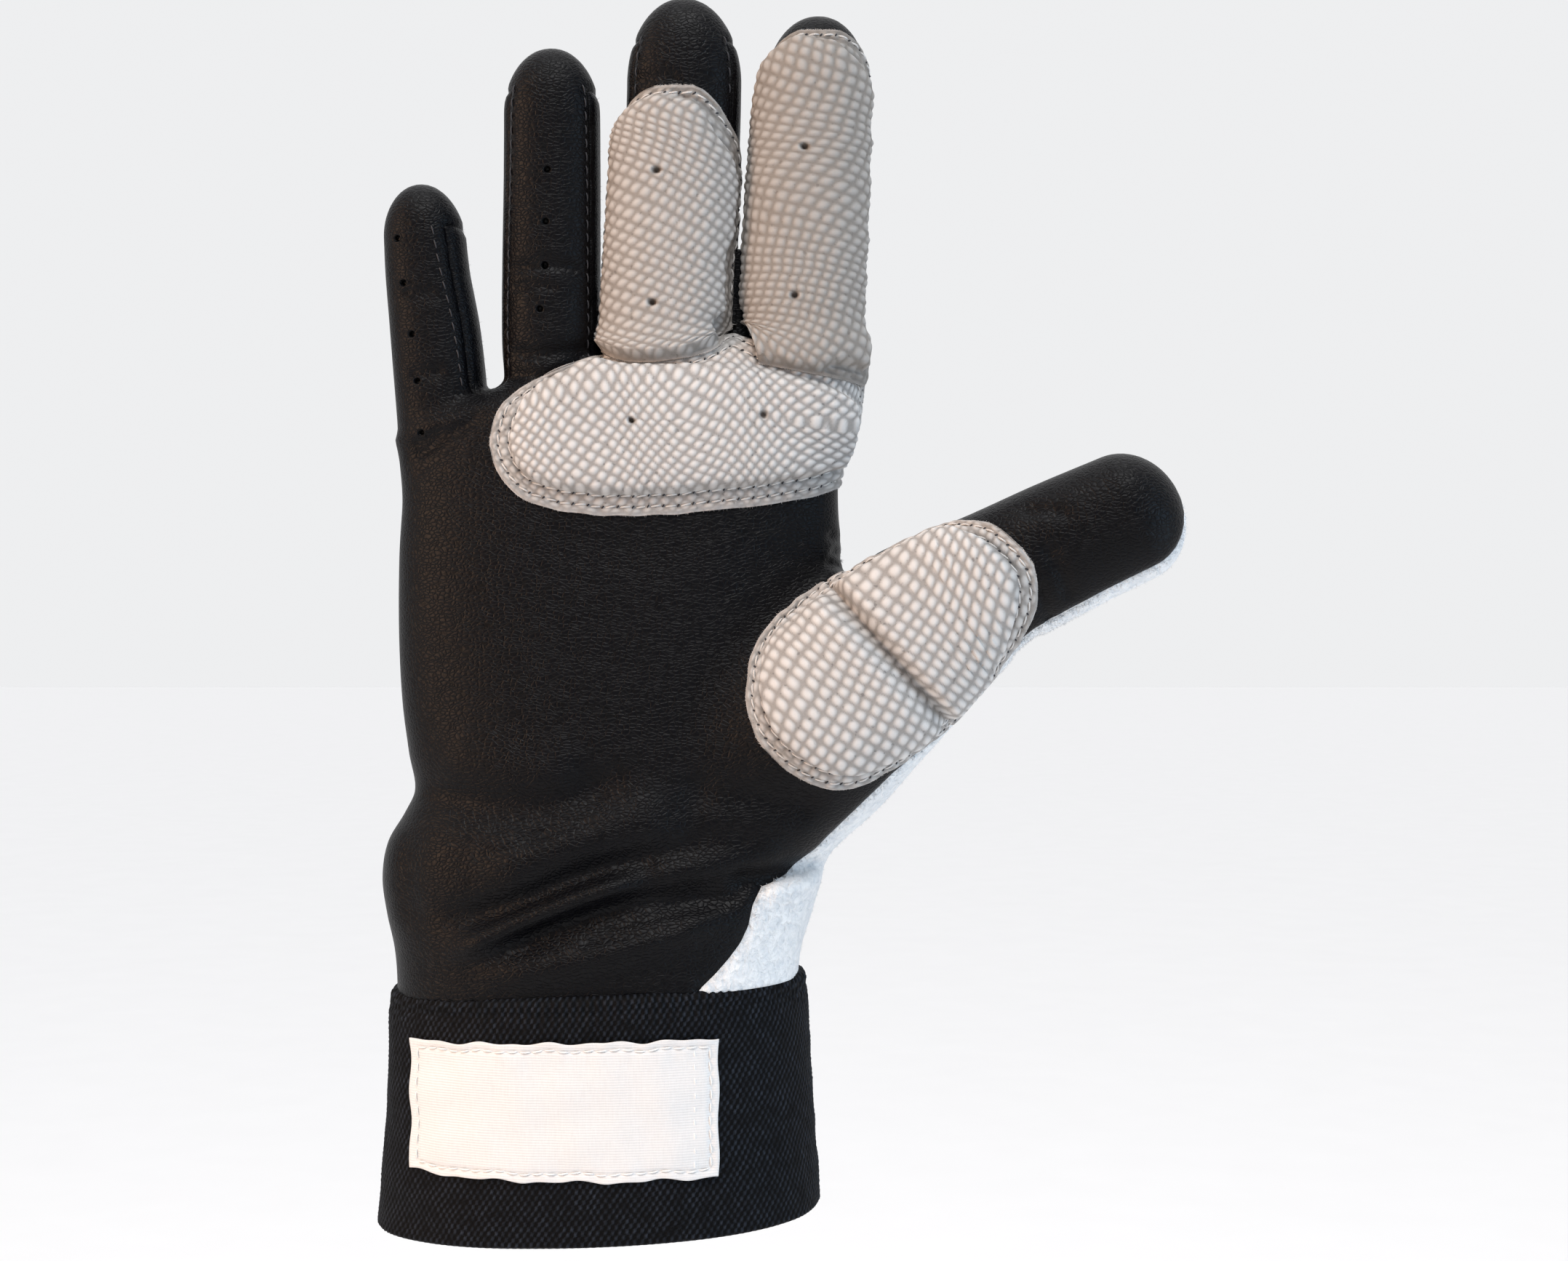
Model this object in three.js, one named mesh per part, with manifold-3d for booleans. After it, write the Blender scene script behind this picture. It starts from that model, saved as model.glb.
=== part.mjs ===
// Padded batting inner glove for a right hand, palm towards -Y, fingers up (+Z), thumb towards +X.
// Millimetres. The origin is the centre of the wrist opening, at the cuff's lower rim.
// The glove keeps the form that a hand gives it: a leather front, a knit back, side strips between
// the fingers, a set-in thumb, foam pads under textured leather, an elastic cuff and a blank label.
import * as THREE from "three";
import { mergeVertices } from "three/addons/utils/BufferGeometryUtils.js";
import Module from "manifold-3d";

const wasm = await Module();
wasm.setup();

// ---------------------------------------------------------------- driving sizes
const WALL = 1.5; // leather and knit
const CUFF_WALL = 2.2; // doubled elastic
const GAP = 0.3; // clearance kept between sewn pieces
const CUFF_HEIGHT = 48.3;
const CUFF_TILT = 0.036; // the cuff's rims climb towards the thumb, mm per mm
const CURL = 9.0; // how far the longest fingertip leans towards the palm side
const CURL_FROM = 158;
const CURL_OVER = 91;
const WRAP = 3.0; // the leather front runs this far behind the mid plane at a side
const STRIP_FRONT = 5.2; // the finger side strips start this far in front of the mid plane
const PATCH = 1.1; // thickness of a pad's sewn flange

// Finger tubes. z: height of the section, x: its centre, w: half width, f and b: depth in front and behind.
const FINGERS = {
  pinky: {
    tip: 210.1, round: 11, n: 2.3,
    rows: [
      { z: 150, x: -31.6, w: 9.2, f: 8.6, b: 9.4 },
      { z: 167, x: -32.7, w: 9.4, f: 8.6, b: 9.0 },
      { z: 181, x: -33.9, w: 9.2, f: 8.3, b: 8.1 },
      { z: 194, x: -35.4, w: 8.5, f: 7.9, b: 7.7 },
      { z: 211, x: -36.2, w: 7.9, f: 7.4, b: 7.2 },
    ],
  },
  ring: {
    tip: 236.8, round: 13, n: 2.3,
    rows: [
      { z: 152, x: -9.4, w: 10.0, f: 9.6, b: 9.2 },
      { z: 181, x: -10.0, w: 10.1, f: 9.5, b: 9.0 },
      { z: 214, x: -9.5, w: 9.8, f: 9.0, b: 8.6 },
      { z: 239, x: -9.2, w: 9.6, f: 8.4, b: 8.0 },
    ],
  },
  middle: {
    tip: 246.5, round: 16.5, n: 2.3,
    rows: [
      { z: 152, x: 14.0, w: 12.2, f: 10.6, b: 10.0 },
      { z: 181, x: 15.0, w: 12.0, f: 10.4, b: 9.8 },
      { z: 204, x: 16.4, w: 11.8, f: 10.0, b: 9.4 },
      { z: 228, x: 17.5, w: 11.6, f: 9.6, b: 9.0 },
      { z: 249, x: 17.6, w: 11.5, f: 9.0, b: 8.4 },
    ],
  },
  index: {
    tip: 243.0, round: 13, n: 2.3,
    rows: [
      { z: 152, x: 41.0, w: 11.0, f: 10.4, b: 10.0 },
      { z: 181, x: 41.8, w: 11.0, f: 10.2, b: 9.8 },
      { z: 207, x: 43.0, w: 10.7, f: 9.8, b: 9.2 },
      { z: 228, x: 44.2, w: 10.3, f: 9.3, b: 8.7 },
      { z: 245, x: 44.8, w: 10.1, f: 8.8, b: 8.2 },
    ],
  },
};

// Hand body. xl and xr: left and right edge, f and b: depth in front and behind. Top rows follow the knuckle line.
const PALM_ROWS = [
  { z: 36, xl: -41.4, xr: 40.8, f: 25.5, b: 23.6 },
  { z: 49, xl: -41.4, xr: 40.8, f: 25.6, b: 23.4 },
  { z: 55, xl: -41.8, xr: 41.4, f: 25.2, b: 22.6 },
  { z: 62, xl: -43.4, xr: 43.6, f: 24.8, b: 21.8 },
  { z: 69, xl: -44.3, xr: 45.2, f: 24.0, b: 21.0 },
  { z: 76, xl: -43.2, xr: 45.6, f: 23.0, b: 20.2 },
  { z: 82, xl: -39.8, xr: 46.0, f: 21.6, b: 19.2 },
  { z: 86.5, xl: -37.9, xr: 46.6, f: 20.8, b: 18.6 },
  { z: 94, xl: -39.0, xr: 47.4, f: 20.0, b: 18.0 },
  { z: 104, xl: -40.4, xr: 48.4, f: 19.0, b: 17.2 },
  { z: 118, xl: -41.2, xr: 49.2, f: 17.6, b: 16.2 },
  { z: 134, xl: -41.2, xr: 49.8, f: 16.4, b: 15.2 },
  { z: 147, xl: -40.6, xr: 49.0, f: 15.2, b: 13.6 },
  { z: 160, xl: -41.2, xr: 52.4, f: 14.2, b: 11.6 },
  { z: 170, xl: -42.0, xr: 53.6, f: 13.0, b: 10.8 },
];
const PALM_TOP = 175.5; // web height at mid hand
const PALM_ROUND = 9; // length over which the web closes
const KNUCKLE_SLOPE = 0.2; // the web drops towards the little finger
const PALM_N = 2.6;

// Thumb tube. x, z: centre, y: depth of the centre, w: half width across, f and b: depth in front and behind.
const THUMB_ROWS = [
  { x: 22.0, z: 78.0, y: 0.0, w: 15.0, f: 16.0, b: 13.0 },
  { x: 37.5, z: 93.0, y: -2.5, w: 20.6, f: 20.5, b: 15.0 },
  { x: 52.0, z: 107.6, y: -6.5, w: 20.0, f: 18.0, b: 14.0 },
  { x: 67.0, z: 120.6, y: -11.0, w: 17.4, f: 14.0, b: 13.0 },
  { x: 80.3, z: 129.1, y: -15.0, w: 14.2, f: 11.8, b: 11.6 },
  { x: 93.0, z: 135.6, y: -18.0, w: 13.4, f: 10.8, b: 10.8 },
  { x: 105.8, z: 141.5, y: -20.0, w: 12.9, f: 10.4, b: 10.4 },
];
const THUMB_ROUND = 11.2; // length of the closed tip past the last row
const THUMB_N = 2.2;
const THUMB_SEAM = 5.5; // the seam sits this far forward at the lower edge and behind at the upper edge

// Where the set-in thumb is sewn to the hand: a straight cut through these two points.
const THUMB_CUT = { x0: 49.5, z0: 133.5, x1: 76.5, z1: 97.5 };

// Edge of the knit on the front of the hand, from the cuff up to the thumb seam.
const KNIT_EDGE = [
  { x: 20.4, z: 36.0 },
  { x: 21.4, z: 49.0 },
  { x: 27.2, z: 54.8 },
  { x: 31.0, z: 61.0 },
  { x: 33.0, z: 67.6 },
  { x: 38.4, z: 70.6 },
  { x: 44.0, z: 74.8 },
  { x: 51.2, z: 82.2 },
  { x: 59.6, z: 90.4 },
  { x: 68.6, z: 97.6 },
  { x: 76.0, z: 101.5 },
];

// Folds of the loose leather above the cuff: a line from (x0,z0) to (x1,z1), its height and half width.
const FOLDS = [
  { x0: -34, z0: 47, x1: 26, z1: 74, high: 2.2, wide: 4.4 },
  { x0: -36, z0: 96, x1: 8, z1: 98, high: 1.6, wide: 7.0 },
  { x0: -46, z0: 68, x1: -20, z1: 74, high: 1.2, wide: 6.0 },
  { x0: -24, z0: 64, x1: 34, z1: 84, high: -1.6, wide: 3.6 },
];

// Elastic cuff, outer size.
const CUFF_ROWS = [
  { z: 0, xl: -45.4, xr: 45.0, f: 28.4, b: 26.6 },
  { z: 8, xl: -44.6, xr: 44.6, f: 28.2, b: 26.4 },
  { z: 20, xl: -43.8, xr: 43.7, f: 27.8, b: 26.0 },
  { z: 34, xl: -43.3, xr: 43.0, f: 27.6, b: 25.8 },
  { z: 45, xl: -43.0, xr: 42.6, f: 27.4, b: 25.4 },
  { z: 48.3, xl: -41.8, xr: 41.4, f: 26.6, b: 24.6 },
];
const CUFF_N = 2.25;

const LABEL = { x: -5.0, z: 25.6, w: 60, h: 25.8, thick: 0.7 };

// Pads on the two padded fingers. from and to: heights, left and right: reach round the finger in degrees
// from the palm side's middle, puff: foam height.
const FINGER_PADS = {
  middle_finger_pad: { finger: "middle", from: 174.4, to: 229.6, left: 84, right: 72, puff: 3.0 },
  index_finger_pad: { finger: "index", from: 174.0, to: 237.6, left: 80, right: 80, puff: 3.0 },
};

// Knuckle pad outline by rows across the hand: x, lower and upper edge.
const KNUCKLE_ROWS = [
  { x: -21.2, lo: 155.0, hi: 158.6 },
  { x: -19.4, lo: 150.2, hi: 163.6 },
  { x: -14.6, lo: 145.4, hi: 168.2 },
  { x: -7.0, lo: 142.9, hi: 171.6 },
  { x: 5.0, lo: 141.8, hi: 172.4 },
  { x: 18.0, lo: 142.4, hi: 172.6 },
  { x: 30.0, lo: 143.6, hi: 172.4 },
  { x: 42.0, lo: 145.6, hi: 170.6 },
  { x: 48.4, lo: 149.2, hi: 168.0 },
  { x: 52.2, lo: 155.6, hi: 161.4 },
];
const KNUCKLE_PUFF = 5.0;

// Thumb pad: s runs along a line up the thumb from (x0, z0) towards (x1, z1), up and down are the
// patch's widths either side of it. A sewn crease parts its two foam cells.
const THUMB_PAD = { x0: 43.7, z0: 104.8, x1: 79.0, z1: 128.4, puff: 4.6, crease: 20.5 };
const THUMB_PAD_ROWS = [
  { s: -13.0, up: 2.0, down: 3.0 },
  { s: -11.4, up: 6.5, down: 9.3 },
  { s: -9.0, up: 10.3, down: 13.5 },
  { s: -5.5, up: 14.3, down: 16.8 },
  { s: 0.0, up: 17.4, down: 18.9 },
  { s: 7.0, up: 18.7, down: 19.7 },
  { s: 14.0, up: 18.8, down: 19.7 },
  { s: 20.0, up: 17.6, down: 20.0 },
  { s: 30.0, up: 16.6, down: 17.0 },
  { s: 37.0, up: 15.6, down: 13.8 },
  { s: 44.0, up: 13.4, down: 9.9 },
  { s: 48.0, up: 10.0, down: 5.9 },
  { s: 50.0, up: 4.0, down: 0.8 },
];

// ---------------------------------------------------------------- small maths
const lerp = (a, b, t) => a + (b - a) * t;
const clamp = (v, a, b) => Math.min(b, Math.max(a, v));
const smooth = (t) => t * t * (3 - 2 * t);
const power = (v, e) => Math.sign(v) * Math.abs(v) ** e;

// Every column of a table at key value k, by a smooth curve through its rows.
function at(rows, k, key = "z") {
  const last = rows.length - 1;
  let i = 0;
  while (i < last - 1 && k > rows[i + 1][key]) i++;
  const a = rows[i], b = rows[i + 1], p = rows[Math.max(0, i - 1)], q = rows[Math.min(last, i + 2)];
  const span = b[key] - a[key], t = clamp((k - a[key]) / span, 0, 1);
  const out = {};
  for (const c of Object.keys(a)) {
    const m0 = (b[c] - p[c]) / (b[key] - p[key]) * span;
    const m1 = (q[c] - a[c]) / (q[key] - a[key]) * span;
    const t2 = t * t, t3 = t2 * t;
    out[c] = (2 * t3 - 3 * t2 + 1) * a[c] + (t3 - 2 * t2 + t) * m0 + (3 * t2 - 2 * t3) * b[c] + (t3 - t2) * m1;
  }
  out[key] = k;
  return out;
}

const curlAt = (z) => -CURL * Math.max(0, (z - CURL_FROM) / CURL_OVER) ** 1.6;

function segmentDistance(x, z, s) {
  const dx = s.x1 - s.x0, dz = s.z1 - s.z0;
  const t = clamp(((x - s.x0) * dx + (z - s.z0) * dz) / (dx * dx + dz * dz), 0, 1);
  return Math.hypot(x - s.x0 - t * dx, z - s.z0 - t * dz);
}
const foldHeight = (x, z) => FOLDS.reduce((sum, s) => sum + s.high * Math.exp(-((segmentDistance(x, z, s) / s.wide) ** 2)), 0);

// ---------------------------------------------------------------- solids from rings
function solidFromRings(rings) {
  const n = rings[0].length, v = [], tri = [];
  rings.forEach((r) => r.forEach((p) => v.push(...p)));
  for (let i = 0; i + 1 < rings.length; i++)
    for (let j = 0; j < n; j++) {
      const a = i * n + j, b = i * n + ((j + 1) % n), c = a + n, d = b + n;
      tri.push(a, b, d, a, d, c);
    }
  for (const [i, flip] of [[0, true], [rings.length - 1, false]]) {
    const r = rings[i], m = [0, 1, 2].map((k) => r.reduce((s, p) => s + p[k], 0) / n);
    const at0 = v.length / 3;
    v.push(...m);
    for (let j = 0; j < n; j++) {
      const a = i * n + j, b = i * n + ((j + 1) % n);
      tri.push(...(flip ? [b, a, at0] : [a, b, at0]));
    }
  }
  const g = new THREE.BufferGeometry();
  g.setAttribute("position", new THREE.Float32BufferAttribute(v, 3));
  g.setIndex(tri);
  return solidOf(g);
}

function solidOf(geometry) {
  const g = geometry.index ? geometry.toNonIndexed() : geometry.clone();
  const only = new THREE.BufferGeometry().setAttribute("position", g.getAttribute("position"));
  const merged = mergeVertices(only, 1e-4);
  const tri = Uint32Array.from(merged.index.array);
  const p = merged.attributes.position.array;
  let volume = 0;
  for (let i = 0; i < tri.length; i += 3) {
    const [a, b, c] = [tri[i], tri[i + 1], tri[i + 2]].map((k) => [p[3 * k], p[3 * k + 1], p[3 * k + 2]]);
    volume += a[0] * (b[1] * c[2] - b[2] * c[1]) - a[1] * (b[0] * c[2] - b[2] * c[0]) + a[2] * (b[0] * c[1] - b[1] * c[0]);
  }
  if (volume < 0) for (let i = 0; i < tri.length; i += 3) [tri[i + 1], tri[i + 2]] = [tri[i + 2], tri[i + 1]];
  return new wasm.Manifold(new wasm.Mesh({ numProp: 3, vertProperties: Float32Array.from(p), triVerts: tri }));
}

const union = (list) => list.reduce((a, b) => a.add(b));

// Rounded section: half width w, front depth f, back depth b, about (x, y), with n sides.
function section(n, e, x, y, z, w, f, b, move = (p) => p) {
  const ring = [];
  for (let i = 0; i < n; i++) {
    const a = (2 * Math.PI * (i + 0.5)) / n, c = Math.cos(a), s = Math.sin(a);
    ring.push(move([x + w * power(c, 2 / e), y - (s > 0 ? f : b) * power(s, 2 / e), z]));
  }
  return ring;
}

// A finger's tube, grown by g all round. The inside is drawn coarser than the outside.
function fingerTube(F, g) {
  const rings = [], from = F.rows[0].z, tip = F.tip + g, start = tip - F.round - g, inside = g < 0;
  const levels = [], steps = inside ? 3 : 4;
  for (let i = 0; i <= steps; i++) levels.push(lerp(from, start, i / steps));
  for (const a of inside ? [35, 62, 80] : [26, 48, 67, 80]) levels.push(start + (tip - start) * Math.sin((a * Math.PI) / 180));
  for (const z of levels) {
    const r = at(F.rows, Math.min(z, F.rows.at(-1).z)), k = z > start ? Math.sqrt(1 - ((z - start) / (tip - start)) ** 2) : 1;
    rings.push(section(inside ? 10 : 14, F.n, r.x, curlAt(z), z, (r.w + g) * k, (r.f + g) * k, (r.b + g) * k));
  }
  return solidFromRings(rings);
}

// The hand's body, grown by g, with the folds of the front.
function palmBody(g, low) {
  const rings = [], top = PALM_TOP + g, start = PALM_TOP - PALM_ROUND;
  const levels = [low, 50, 54.5, 59, 63.5, 68, 72.5, 77, 82, 87, 93, 103, 120, 140, start];
  for (const a of [36, 62, 80]) levels.push(start + (top - start) * Math.sin((a * Math.PI) / 180));
  for (const z of levels) {
    const r = at(PALM_ROWS, Math.min(z, PALM_ROWS.at(-1).z));
    const close = z > start ? Math.sqrt(1 - ((z - start) / (top - start)) ** 2) : 1;
    const slope = KNUCKLE_SLOPE * smooth(clamp((z - 140) / 20, 0, 1));
    const x = (r.xl + r.xr) / 2, w = (r.xr - r.xl) / 2 + g - (1 - close) * 2.5;
    rings.push(section(g < 0 ? 18 : 24, PALM_N, x, curlAt(z), z, w, (r.f + g) * close, (r.b + g) * close, ([px, py, pz]) => {
      const front = smooth(clamp(-py / 12, 0, 1));
      return [px, py - front * foldHeight(px, pz), pz + slope * (px - x)];
    }));
  }
  return solidFromRings(rings);
}

// The thumb's axis as points with a direction across it.
function thumbStations(count, g) {
  const rows = THUMB_ROWS.map((r, i) => ({ ...r, s: i }));
  const list = [];
  for (let i = 0; i <= count; i++) list.push(thumbAt(rows, (i / count) * (rows.length - 1)));
  const end = list.at(-1);
  for (const a of [26, 48, 67, 80]) {
    const s = Math.sin((a * Math.PI) / 180), k = Math.cos((a * Math.PI) / 180), l = (THUMB_ROUND + g) * s;
    list.push({ ...end, x: end.x + end.ux * l, z: end.z + end.uz * l, k });
  }
  return list;
}
function thumbAt(rows, s) {
  const r = at(rows, s, "s"), a = at(rows, Math.max(0, s - 0.05), "s"), b = at(rows, Math.min(rows.length - 1, s + 0.05), "s");
  const l = Math.hypot(b.x - a.x, b.z - a.z);
  return { ...r, ux: (b.x - a.x) / l, uz: (b.z - a.z) / l, k: 1 };
}
// Across the thumb, v runs towards its lower edge.
function thumbTube(g) {
  return solidFromRings(thumbStations(g < 0 ? 6 : 8, g).map((r) =>
    section(g < 0 ? 10 : 14, THUMB_N, 0, r.y, 0, (r.w + g) * r.k, (r.f + g) * r.k, (r.b + g) * r.k)
      .map(([v, y]) => [r.x + v * r.uz, y, r.z - v * r.ux])));
}

// ---------------------------------------------------------------- cutters
// A block swept along z: each row gives the corners (x0, y0) and (x1, y1).
const sweep = (rows) => solidFromRings(rows.map((r) => [[r.x0, r.y0, r.z], [r.x1, r.y0, r.z], [r.x1, r.y1, r.z], [r.x0, r.y1, r.z]]));

function backBlock(g) {
  const rows = [];
  for (let z = 20; z <= 275; z += z < 155 ? 45 : 12) rows.push({ z, x0: -90, x1: 90, y0: curlAt(z) + WRAP - g, y1: 90 });
  return sweep(rows);
}

function extrudeXZ(points) {
  const shape = new THREE.Shape(points.map(([x, z]) => new THREE.Vector2(x, z)));
  const g = new THREE.ExtrudeGeometry(shape, { depth: 200, bevelEnabled: false, curveSegments: 1 });
  g.rotateX(Math.PI / 2);
  g.translate(0, 100, 0);
  return solidOf(g);
}

// Everything on the thumb's side of its seam, moved back by g.
function thumbSide(g) {
  const { x0, z0, x1, z1 } = THUMB_CUT, l = Math.hypot(x1 - x0, z1 - z0);
  const nx = -(z1 - z0) / l, nz = (x1 - x0) / l, ux = (x1 - x0) / l, uz = (z1 - z0) / l; // n points to the thumb
  const p = (a, b) => [x0 + ux * a + nx * (b - g), z0 + uz * a + nz * (b - g)];
  // Above the crotch the cut turns upwards, so that the forefinger stays with the hand.
  return extrudeXZ([p(0, 0), p(120, 0), p(120, 160), [x0 + 160, z0 + 160], [x0 + 14, z0 + 70], [x0 + 3.4, z0 + 9]]);
}

function knitFront(g) {
  const edge = KNIT_EDGE.map(({ x, z }) => [x - g, z + g]);
  return extrudeXZ([...edge, [140, KNIT_EDGE.at(-1).z + g], [140, KNIT_EDGE[0].z]]);
}

function thumbBackBlock(g) {
  const rings = thumbStations(8, 0).filter((r) => r.k === 1);
  const end = rings.at(-1);
  rings.push({ ...end, x: end.x + end.ux * 30, z: end.z + end.uz * 30 });
  return solidFromRings(rings.map((r) => {
    const reach = 1.35 * r.w, lean = THUMB_SEAM * 1.35, place = (v, y) => [r.x + v * r.uz, y, r.z - v * r.ux];
    return [place(-reach, r.y + lean - g), place(reach, r.y - lean - g), place(reach, 90), place(-reach, 90)];
  }));
}

// The strip between two neighbours: the inner sides of both fingers and the web.
function stripBlock(left, right, g) {
  const L = FINGERS[left], R = FINGERS[right], block = (F, side, other) => {
    const rows = [], low = 158, high = F.tip - 9;
    for (let i = 0; i <= 4; i++) {
      const z = lerp(low - g, high + g, i / 4), a = at(F.rows, z), b = at(other.rows, Math.min(z, other.rows.at(-1).z));
      const mid = side > 0 ? (a.x + a.w + b.x - b.w) / 2 : (a.x - a.w + b.x + b.w) / 2;
      const own = a.x + side * (0.42 * a.w - g);
      rows.push({ z, x0: Math.min(own, mid + side * 0.2), x1: Math.max(own, mid + side * 0.2), y0: curlAt(z) - STRIP_FRONT - g, y1: curlAt(z) + WRAP - GAP + g });
    }
    return sweep(rows);
  };
  return block(L, 1, R).add(block(R, -1, L));
}

// The largest body of a solid, without slivers that the cuts leave.
function biggest(solid) {
  return solid.decompose().sort((a, b) => b.volume() - a.volume())[0];
}

// ---------------------------------------------------------------- the shell
const fingers = Object.values(FINGERS);
const outerAll = (g) => union([palmBody(g, 36), ...fingers.map((F) => fingerTube(F, g)), thumbTube(g)]);
const outer = outerAll(0);
const inner = union([palmBody(-WALL, 30), ...fingers.map((F) => fingerTube(F, -WALL)), thumbTube(-WALL)]);
// The hand's parts end just above the cuff's upper rim.
const cuffTopBlock = (lift) => solidFromRings([-80, 80].map((x) => {
  const z = CUFF_HEIGHT + lift + CUFF_TILT * x;
  return [[x, -80, z], [x, 80, z], [x, 80, -40], [x, -80, -40]];
}));
const shell = outer.subtract(inner).subtract(cuffTopBlock(GAP));

const handShell = shell.subtract(thumbSide(GAP / 2));
const thumbShell = shell.intersect(thumbSide(-GAP / 2));
const strips = [["ring", "pinky"], ["middle", "ring"], ["index", "middle"]].map(([r, l]) => ({
  name: `side_strip_${r}_${l}`,
  cut: (g) => stripBlock(l, r, g),
}));
const stripCuts = union(strips.map((s) => s.cut(GAP)));

const pieces = {};
pieces.palm_panel = biggest(handShell.subtract(backBlock(GAP)).subtract(knitFront(GAP)).subtract(stripCuts));
pieces.back_panel = biggest(handShell.intersect(backBlock(0).add(knitFront(0))).subtract(stripCuts));
for (const s of strips) pieces[s.name] = biggest(handShell.intersect(s.cut(0)));
pieces.thumb_panel = biggest(thumbShell.subtract(thumbBackBlock(GAP)));
pieces.thumb_back = biggest(thumbShell.intersect(thumbBackBlock(0)));

// ---------------------------------------------------------------- cuff and label
function cuffBody(g, dz) {
  return solidFromRings([0, 20, 44, CUFF_HEIGHT].map((z, i, all) => {
    const r = at(CUFF_ROWS, z), over = i === 0 ? -dz : i === all.length - 1 ? dz : 0;
    return section(32, CUFF_N, (r.xl + r.xr) / 2, 0, z + over, (r.xr - r.xl) / 2 + g, r.f + g, r.b + g,
      ([x, y, h]) => [x, y, h + CUFF_TILT * x]);
  }));
}
pieces.cuff = cuffBody(0, 0).subtract(cuffBody(-CUFF_WALL, 2));

const cuffFront = (x, z) => {
  const r = at(CUFF_ROWS, clamp(z - CUFF_TILT * x, 0, CUFF_HEIGHT)), m = (r.xl + r.xr) / 2, w = (r.xr - r.xl) / 2;
  return -r.f * (1 - Math.abs(clamp((x - m) / w, -0.999, 0.999)) ** CUFF_N) ** (1 / CUFF_N);
};
// A thin closed sheet over (u, v) in 0..1: place(u, v, t) gives a point at t = 0 below and t = 1 above.
function slab(nu, nv, place) {
  const v = [], tri = [], id = (i, j, t) => (t * (nu + 1) + i) * (nv + 1) + j;
  for (const t of [0, 1]) for (let i = 0; i <= nu; i++) for (let j = 0; j <= nv; j++) v.push(...place(i / nu, j / nv, t));
  const quad = (a, b, c, d) => tri.push(a, b, c, a, c, d);
  for (let i = 0; i < nu; i++) for (let j = 0; j < nv; j++) {
    quad(id(i, j, 1), id(i + 1, j, 1), id(i + 1, j + 1, 1), id(i, j + 1, 1));
    quad(id(i, j, 0), id(i, j + 1, 0), id(i + 1, j + 1, 0), id(i + 1, j, 0));
  }
  for (let i = 0; i < nu; i++) {
    quad(id(i, 0, 0), id(i + 1, 0, 0), id(i + 1, 0, 1), id(i, 0, 1));
    quad(id(i, nv, 1), id(i + 1, nv, 1), id(i + 1, nv, 0), id(i, nv, 0));
  }
  for (let j = 0; j < nv; j++) {
    quad(id(0, j, 1), id(0, j + 1, 1), id(0, j + 1, 0), id(0, j, 0));
    quad(id(nu, j, 0), id(nu, j + 1, 0), id(nu, j + 1, 1), id(nu, j, 1));
  }
  const g = new THREE.BufferGeometry();
  g.setAttribute("position", new THREE.Float32BufferAttribute(v, 3));
  g.setIndex(tri);
  return solidOf(g);
}
pieces.label = slab(12, 1, (u, v, t) => {
  const x = LABEL.x + (u - 0.5) * LABEL.w, z = LABEL.z + (v - 0.5) * LABEL.h + CUFF_TILT * (x - LABEL.x);
  return [x, cuffFront(x, z) - (t ? GAP + LABEL.thick : -0.5), z];
}).subtract(cuffBody(GAP, 1));

// ---------------------------------------------------------------- pads
const clearOf = outerAll(GAP);
// Rise of a sewn pad: 0 at the edge of the foam, 1 over its middle. e is 0 at the patch's edge and 1 in the middle.
const crown = (e) => Math.sqrt(clamp(1 - (1 - clamp((e - 0.12) / 0.5, 0, 1)) ** 2, 0, 1));

for (const [name, P] of Object.entries(FINGER_PADS)) {
  const F = FINGERS[P.finger];
  pieces[name] = slab(10, 10, (u, v, t) => {
    const z = lerp(P.from, P.to, u), close = Math.sqrt(clamp((P.to - z) / 14, 0, 1));
    const reach = P.to - z < 14 ? Math.sqrt(clamp(1 - ((14 - (P.to - z)) / 14) ** 2, 0.03, 1)) : 1;
    const r = at(F.rows, Math.min(z, F.rows.at(-1).z)), start = F.tip - F.round;
    const k = z > start ? Math.sqrt(1 - ((z - start) / F.round) ** 2 * 0.96) : 1;
    const deg = lerp(-P.left, P.right, v) * reach, a = ((90 - deg) * Math.PI) / 180;
    const e = Math.min(1, 2 * Math.min(v, 1 - v), 2 * u * 2.2, 2 * (1 - u) * 2.2);
    const g = t ? GAP + PATCH + P.puff * crown(e) * (0.5 + 0.5 * close) : -1.2;
    const c = Math.cos(a), s = Math.sin(a);
    return [r.x + (r.w * k + g) * power(c, 2 / F.n), curlAt(z) - (r.f * k + g) * power(Math.max(s, -0.3), 2 / F.n), z];
  }).subtract(clearOf);
}

// Height of the hand's front at (x, z), from the body and the thumb.
const thumbLine = THUMB_ROWS.map((r, i) => ({ ...r, s: i }));
function frontOf(x, z) {
  const r = at(PALM_ROWS, Math.min(z, 166)), m = (r.xl + r.xr) / 2, w = (r.xr - r.xl) / 2;
  let y = curlAt(z) - r.f * (1 - Math.abs(clamp((x - m) / w, -0.98, 0.98)) ** PALM_N) ** (1 / PALM_N);
  let best = 1e9, hit = null;
  for (let s = 0; s <= 6; s += 0.1) {
    const t = thumbAt(thumbLine, s), d = Math.hypot(x - t.x, z - t.z);
    if (d < best) { best = d; hit = t; }
  }
  const v = ((x - hit.x) * hit.uz - (z - hit.z) * hit.ux) / hit.w;
  const along = (x - hit.x) * hit.ux + (z - hit.z) * hit.uz;
  if (Math.abs(along) < 3) y = Math.min(y, hit.y - hit.f * (1 - Math.abs(clamp(v, -0.985, 0.985)) ** THUMB_N) ** (1 / THUMB_N));
  return y;
}

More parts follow.
